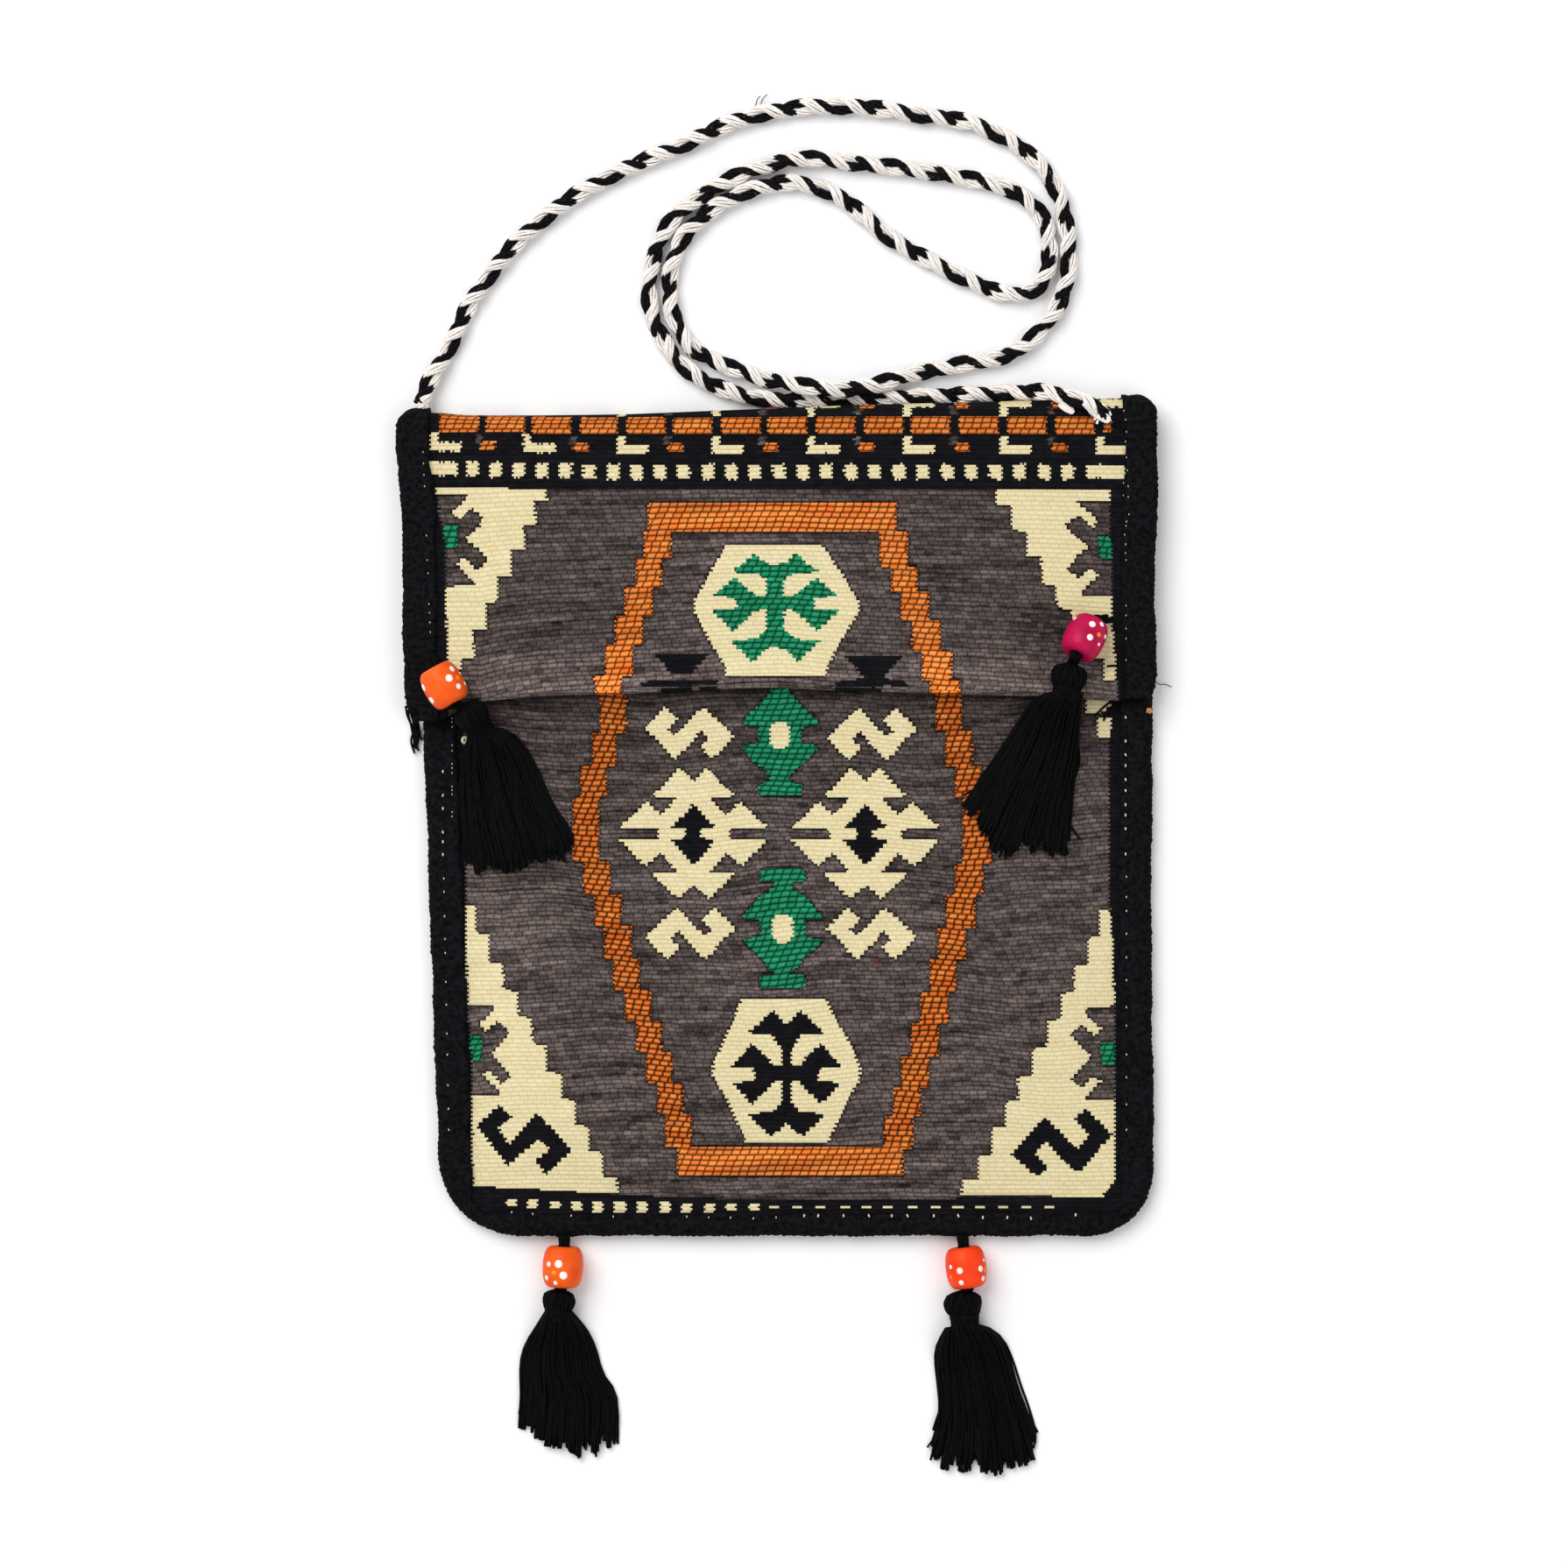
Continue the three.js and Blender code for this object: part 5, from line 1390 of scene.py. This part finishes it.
def tassel_threads(tassel):
    head_xy, neck_xy = tassel["head"], tassel["neck"]
    head = np.array([*head_xy, resting_height(*head_xy, HEAD_RADIUS)])
    neck = np.array([*neck_xy, resting_height(*neck_xy, HEAD_RADIUS)])
    way = neck - head
    length = np.linalg.norm(way)
    way /= length
    side, up = ways_across(way)

    def outward(angle):
        return side * np.cos(angle)[:, None] + up * np.sin(angle)[:, None]

    # the head: threads drawn over a knot and tied below it
    size, uneven, toward = tassel["knot"]
    stations = np.linspace(0, HEAD_OUTLINE[-1, 0], 15)
    radius = np.interp(stations, HEAD_OUTLINE[:, 0], HEAD_OUTLINE[:, 1] * HEAD_RADIUS * size)
    paths = []
    for k in range(HEAD_THREADS):
        angle = 2 * math.pi * k / HEAD_THREADS + rng.normal(0, 0.03)
        turned = outward(angle + 0.12 * np.sin(stations * 5 + k))
        bulge = 1 + uneven * math.cos(angle - toward) * np.sin(np.clip(stations, 0, 1) * math.pi)
        reach = (radius - 0.45) * bulge + rng.normal(0, 0.12)
        paths.append(head + way * (stations * length)[:, None] + turned * reach[:, None])
    tie = np.linspace(0, 2 * math.pi * TIE_TURNS, TIE_POINTS)
    tied = head + way * ((0.8 + 0.14 * tie / tie[-1]) * length)[:, None]
    paths.append(tied + outward(tie) * (0.72 * HEAD_RADIUS * size))
    ring = outward(np.linspace(0, 2 * math.pi, 25))
    core = [head + way * (s * length) + ring * max(r - 0.7, 0.3) for s, r in zip(stations, radius)]
    core = above_floor(np.stack(core), CORE_REST)
    core_mesh, _ = mesh_of("core", core.reshape(-1, 3), grid_faces(*core.shape[:2], turned=True), [BLACK_THREAD])
    # the skirt: threads in wisps between the tassel's two outlines, ending along its ragged foot
    lines = ([(*plan(u, v), 0.0) for u, v in tassel[line]] for line in ("left", "right", "foot"))
    left, right, foot = (curve_through(line, 0.5)[0][:, :2] for line in lines)
    steps = np.linspace(0, 1, SKIRT_POINTS)
    wisp_place = (np.arange(WISPS) + 0.5 + rng.normal(0, 0.25, WISPS)) / WISPS
    wisp_length = rng.normal(0, 0.045, WISPS)
    for k in range(SKIRT_THREADS):
        wisp = k % WISPS
        layer = rng.random()
        share = np.clip(wisp_place[wisp] + rng.normal(0, 0.3 / WISPS), 0.004, 0.996)
        loose = np.clip(rng.normal(share, 0.05), 0, 1)
        spread = loose * (1 - steps) + share * steps
        plan_xy = along_line(left, steps) * (1 - spread)[:, None] + along_line(right, steps) * spread[:, None]
        end = along_line(foot, share)
        plan_xy = plan_xy + (end - plan_xy[-1]) * (steps**2)[:, None]
        short = 1 + np.clip(wisp_length[wisp] + rng.normal(-0.01, 0.035), -0.14, 0.07)
        stray = np.array([rng.normal(0, 0.6), rng.normal(0, 0.3)])
        plan_xy = plan_xy[0] + (plan_xy - plan_xy[0]) * (1 + (short - 1) * steps)[:, None]
        plan_xy = plan_xy + stray * np.sin(steps * (2 + 3 * rng.random()))[:, None]
        near = [plan_xy + shift for shift in itertools.product((-2, 0, 2), (-3, 0, 3))]
        under = np.max([top_at(*place.T) for place in near], axis=0)
        edge = 1 - (2 * share - 1) ** 2 * 0.75
        high = under + SKIRT_GAP + layer * edge * (SKIRT_DEPTH - SKIRT_THINNING * steps)
        round_neck = math.sqrt(max(1 - (2 * loose - 1) ** 2, 0))
        first = neck[2] + (2 * layer - 1) * round_neck * NECK_REACH
        blend = np.clip(steps / 0.35, 0, 1)
        z = np.maximum(first * (1 - blend) + high * blend, under + SKIRT_LEAST)
        paths.append(np.column_stack([plan_xy, z]))
    paths = [above_floor(path, THREAD_REST) for path in paths]
    strays = [loose_thread(route) for route in tassel["strays"]]
    bundle = [
        threads("skirt", paths, SKIRT_THREAD, 4, BLACK_THREAD),
        threads("strays", strays, STRAY_THREAD, 4, BLACK_THREAD),
        core_mesh,
    ]
    name = "tassel_" + tassel["name"]
    piece(name + "_threads", joined("tassel", bundle), "black_thread", name)


for item in TASSELS:
    bead(item)
    tassel_cord(item)
    tassel_threads(item)


# Stitches that show on the binding, loose thread ends and stray fibres, by their places on the chart
LEFT_STITCHES = [(505.5, v) for v in (880.8, 908, 923, 950, 961, 975.6)]
LEFT_SPECKS = [(516, v) for v in (812, 820, 824, 829.6, 850.7, 857, 872, 876.7, 882.4, 898, 902, 906.8, 927, 932)]
RIGHT_STITCHES = [(1285, v) for v in (819, 846, 861.6, 874, 890, 902.6, 918.6, 930.5, 946, 975)]
LOW_LEFT = (1003, 1018, 1046, 1072, 1088, 1121, 1147, 1180, 1204, 1239, 1266, 1290)
LOW_RIGHT = (1001, 1024, 1040, 1066, 1093, 1119, 1150, 1171, 1204, 1230, 1261, 1290)
LOW_STITCHES = [(506 + 0.02 * (v - 976), v) for v in LOW_LEFT] + [(1286, v) for v in LOW_RIGHT]
FLAP_STITCHES = [(484 + 0.04 * (v - 517), v) for v in (517, 530, 543, 556, 612, 640, 655, 690, 700, 711, 722)]
FLAP_STITCHES += [(1284.5, v) for v in (601, 640, 692, 703, 718, 729.5, 754)]
FLAP_STITCHES += [
    (1282, 470), (1284, 480), (1285, 494), (1284, 505), (1285, 523), (1286, 538), (1282, 552), (1287, 556),
    (1282, 566), (1287, 568), (1283, 583), (1288, 588), (1285, 596), (1283, 611), (1284, 622), (1284, 632),
]
FOOT_SPECKS = [
    (584, 1384), (608, 1386), (652, 1388), (700, 1389), (784, 1389), (809, 1390), (834, 1390), (860, 1391),
    (886, 1390), (918, 1388), (934, 1388), (963, 1388), (992, 1388), (1018, 1388), (1036, 1388), (1066, 1388),
    (1094, 1388), (1122, 1390), (1150, 1390), (1177, 1391), (1228, 1387),
]
LOOSE_BLACK = [
    [(1273, 798), (1262, 806), (1250, 817)], [(1270, 806), (1264, 813), (1260, 823)],
    [(1274, 803), (1268, 811), (1267, 818)], [(1263, 761), (1268, 760.3), (1274, 760)],
    [(470, 808), (471, 832), (468, 846), (472, 860)], [(473, 808), (476, 832), (474, 850), (477, 857)],
    [(467, 810), (469, 834), (472, 845), (470, 853)], [(476, 810), (474, 828), (476, 842), (475, 850)],
    [(464, 806), (467, 822), (471, 834), (474, 849)], [(472, 808), (473, 830), (471, 842), (473, 855)],
    [(478, 810), (477, 826), (478, 838), (480, 845)], [(469, 808), (472, 826), (475, 838), (473, 846)],
]
STRAY_FIBRES = [
    [(1316, 777), (1325, 781), (1332, 781), (1339, 784)],
    [(862, 119), (865, 110), (868, 107)], [(868, 118), (871, 110), (876, 105)],
]


def speck(u, v, size):
    """A short stitch that stands a little out of what it goes through."""
    x, y = plan(u, v)
    z = float(top_at(x, y))
    lean = rng.normal(0, 0.25)
    t = np.linspace(-1, 1, 5)
    return np.column_stack([x + t * lean * size, y + t * size, z + 0.1 + 0.28 * (1 - t**2)])


def stitches():
    paths = [speck(u, v, 0.3) for u, v in LEFT_STITCHES + RIGHT_STITCHES]
    fine = [speck(u, v, 0.2) for u, v in LEFT_SPECKS + FLAP_STITCHES]
    low = [speck(u, v, 0.22) for u, v in LOW_STITCHES + FOOT_SPECKS[:9]]
    foot = [speck(u, v, 0.35) for u, v in FOOT_SPECKS[9:]]
    turn = np.linspace(0, 4 * math.pi, 33)
    knot_x, knot_y = plan(530.5, 845)
    knot_z = float(top_at(knot_x, knot_y)) + 1.0 + 0.5 * np.sin(turn / 2)
    knot = [np.column_stack([knot_x + 0.75 * np.cos(turn), knot_y + 0.95 * np.sin(turn), knot_z])]
    tuft = [speck(1310 + 2 * i, 810.8 + (i % 2), 0.7) for i in range(3)]
    fleck = [speck(1000 + 1.5 * i, 1096.5, 0.6) for i in range(2)]
    sewn = [  # each with its threads' radius and sides
        ("stitches", paths, 0.29, 5, CREAM_THREAD),
        ("fine", fine, 0.15, 5, CREAM_THREAD),
        ("low", low, 0.2, 5, CREAM_THREAD),
        ("foot", foot, 0.3, 5, CREAM_THREAD),
        ("knot", knot, 0.6, 6, CREAM_THREAD),
        ("tuft", tuft, 0.38, 5, ORANGE_THREAD),
        ("fleck", fleck, 0.4, 5, CRIMSON_THREAD),
        ("loose", [loose_thread(route) for route in LOOSE_BLACK], 0.4, 5, BLACK_THREAD),
        ("fibres", [loose_thread(route) for route in STRAY_FIBRES], 0.16, 4, BLACK_THREAD),
    ]
    made = joined("binding_stitches", [threads(*row) for row in sewn])
    piece("binding_stitches", made, None, "edge_binding")


stitches()


# Floor and soft light, with the lamps' places, widths and power
FLOOR_HALF = 1500
FLOOR_GRAIN = 900.0
SKY_STRENGTH = 0.55
LAMPS = [("key", (-1.1, 1.35, 2.2), 2.2, 54), ("fill", (1.2, -0.9, 2.2), 2.2, 11)]
LAMP_AIM = Vector((0.0, 0.05, 0.0))


def floor():
    corners = FLOOR_HALF * np.array([(-1, -1, 0), (1, -1, 0), (1, 1, 0), (-1, 1, 0)], float)
    material, tree, surface = new_material("floor", 0.9, Specular_IOR_Level=0.1)
    where = node(tree, "ShaderNodeTexCoord").outputs["Object"]
    grain = node(tree, "ShaderNodeTexNoise", {"Vector": where, "Scale": FLOOR_GRAIN}).outputs["Fac"]
    pale = mix_colour(tree, grain, colour("FCFCFD"), colour("FAFAFB"))
    tree.links.new(pale, surface.inputs["Base Color"])
    mesh, _ = mesh_of("floor", corners, np.array([[0, 1, 2, 3]]), [material])
    ground = bpy.data.objects.new("floor", mesh)
    scene.collection.objects.link(ground)


def lights():
    world = bpy.data.worlds.new("studio")
    world.use_nodes = True
    sky = world.node_tree.nodes["Background"]
    sky.inputs["Color"].default_value = (1.0, 1.0, 1.0, 1.0)
    sky.inputs["Strength"].default_value = SKY_STRENGTH
    scene.world = world
    for name, place, size, power in LAMPS:
        data = bpy.data.lights.new(name, "AREA")
        data.shape, data.size, data.energy = "DISK", size, power
        lamp = bpy.data.objects.new(name, data)
        lamp.location = place
        lamp.rotation_euler = (LAMP_AIM - Vector(place)).to_track_quat("-Z", "Y").to_euler()
        scene.collection.objects.link(lamp)


floor()
lights()
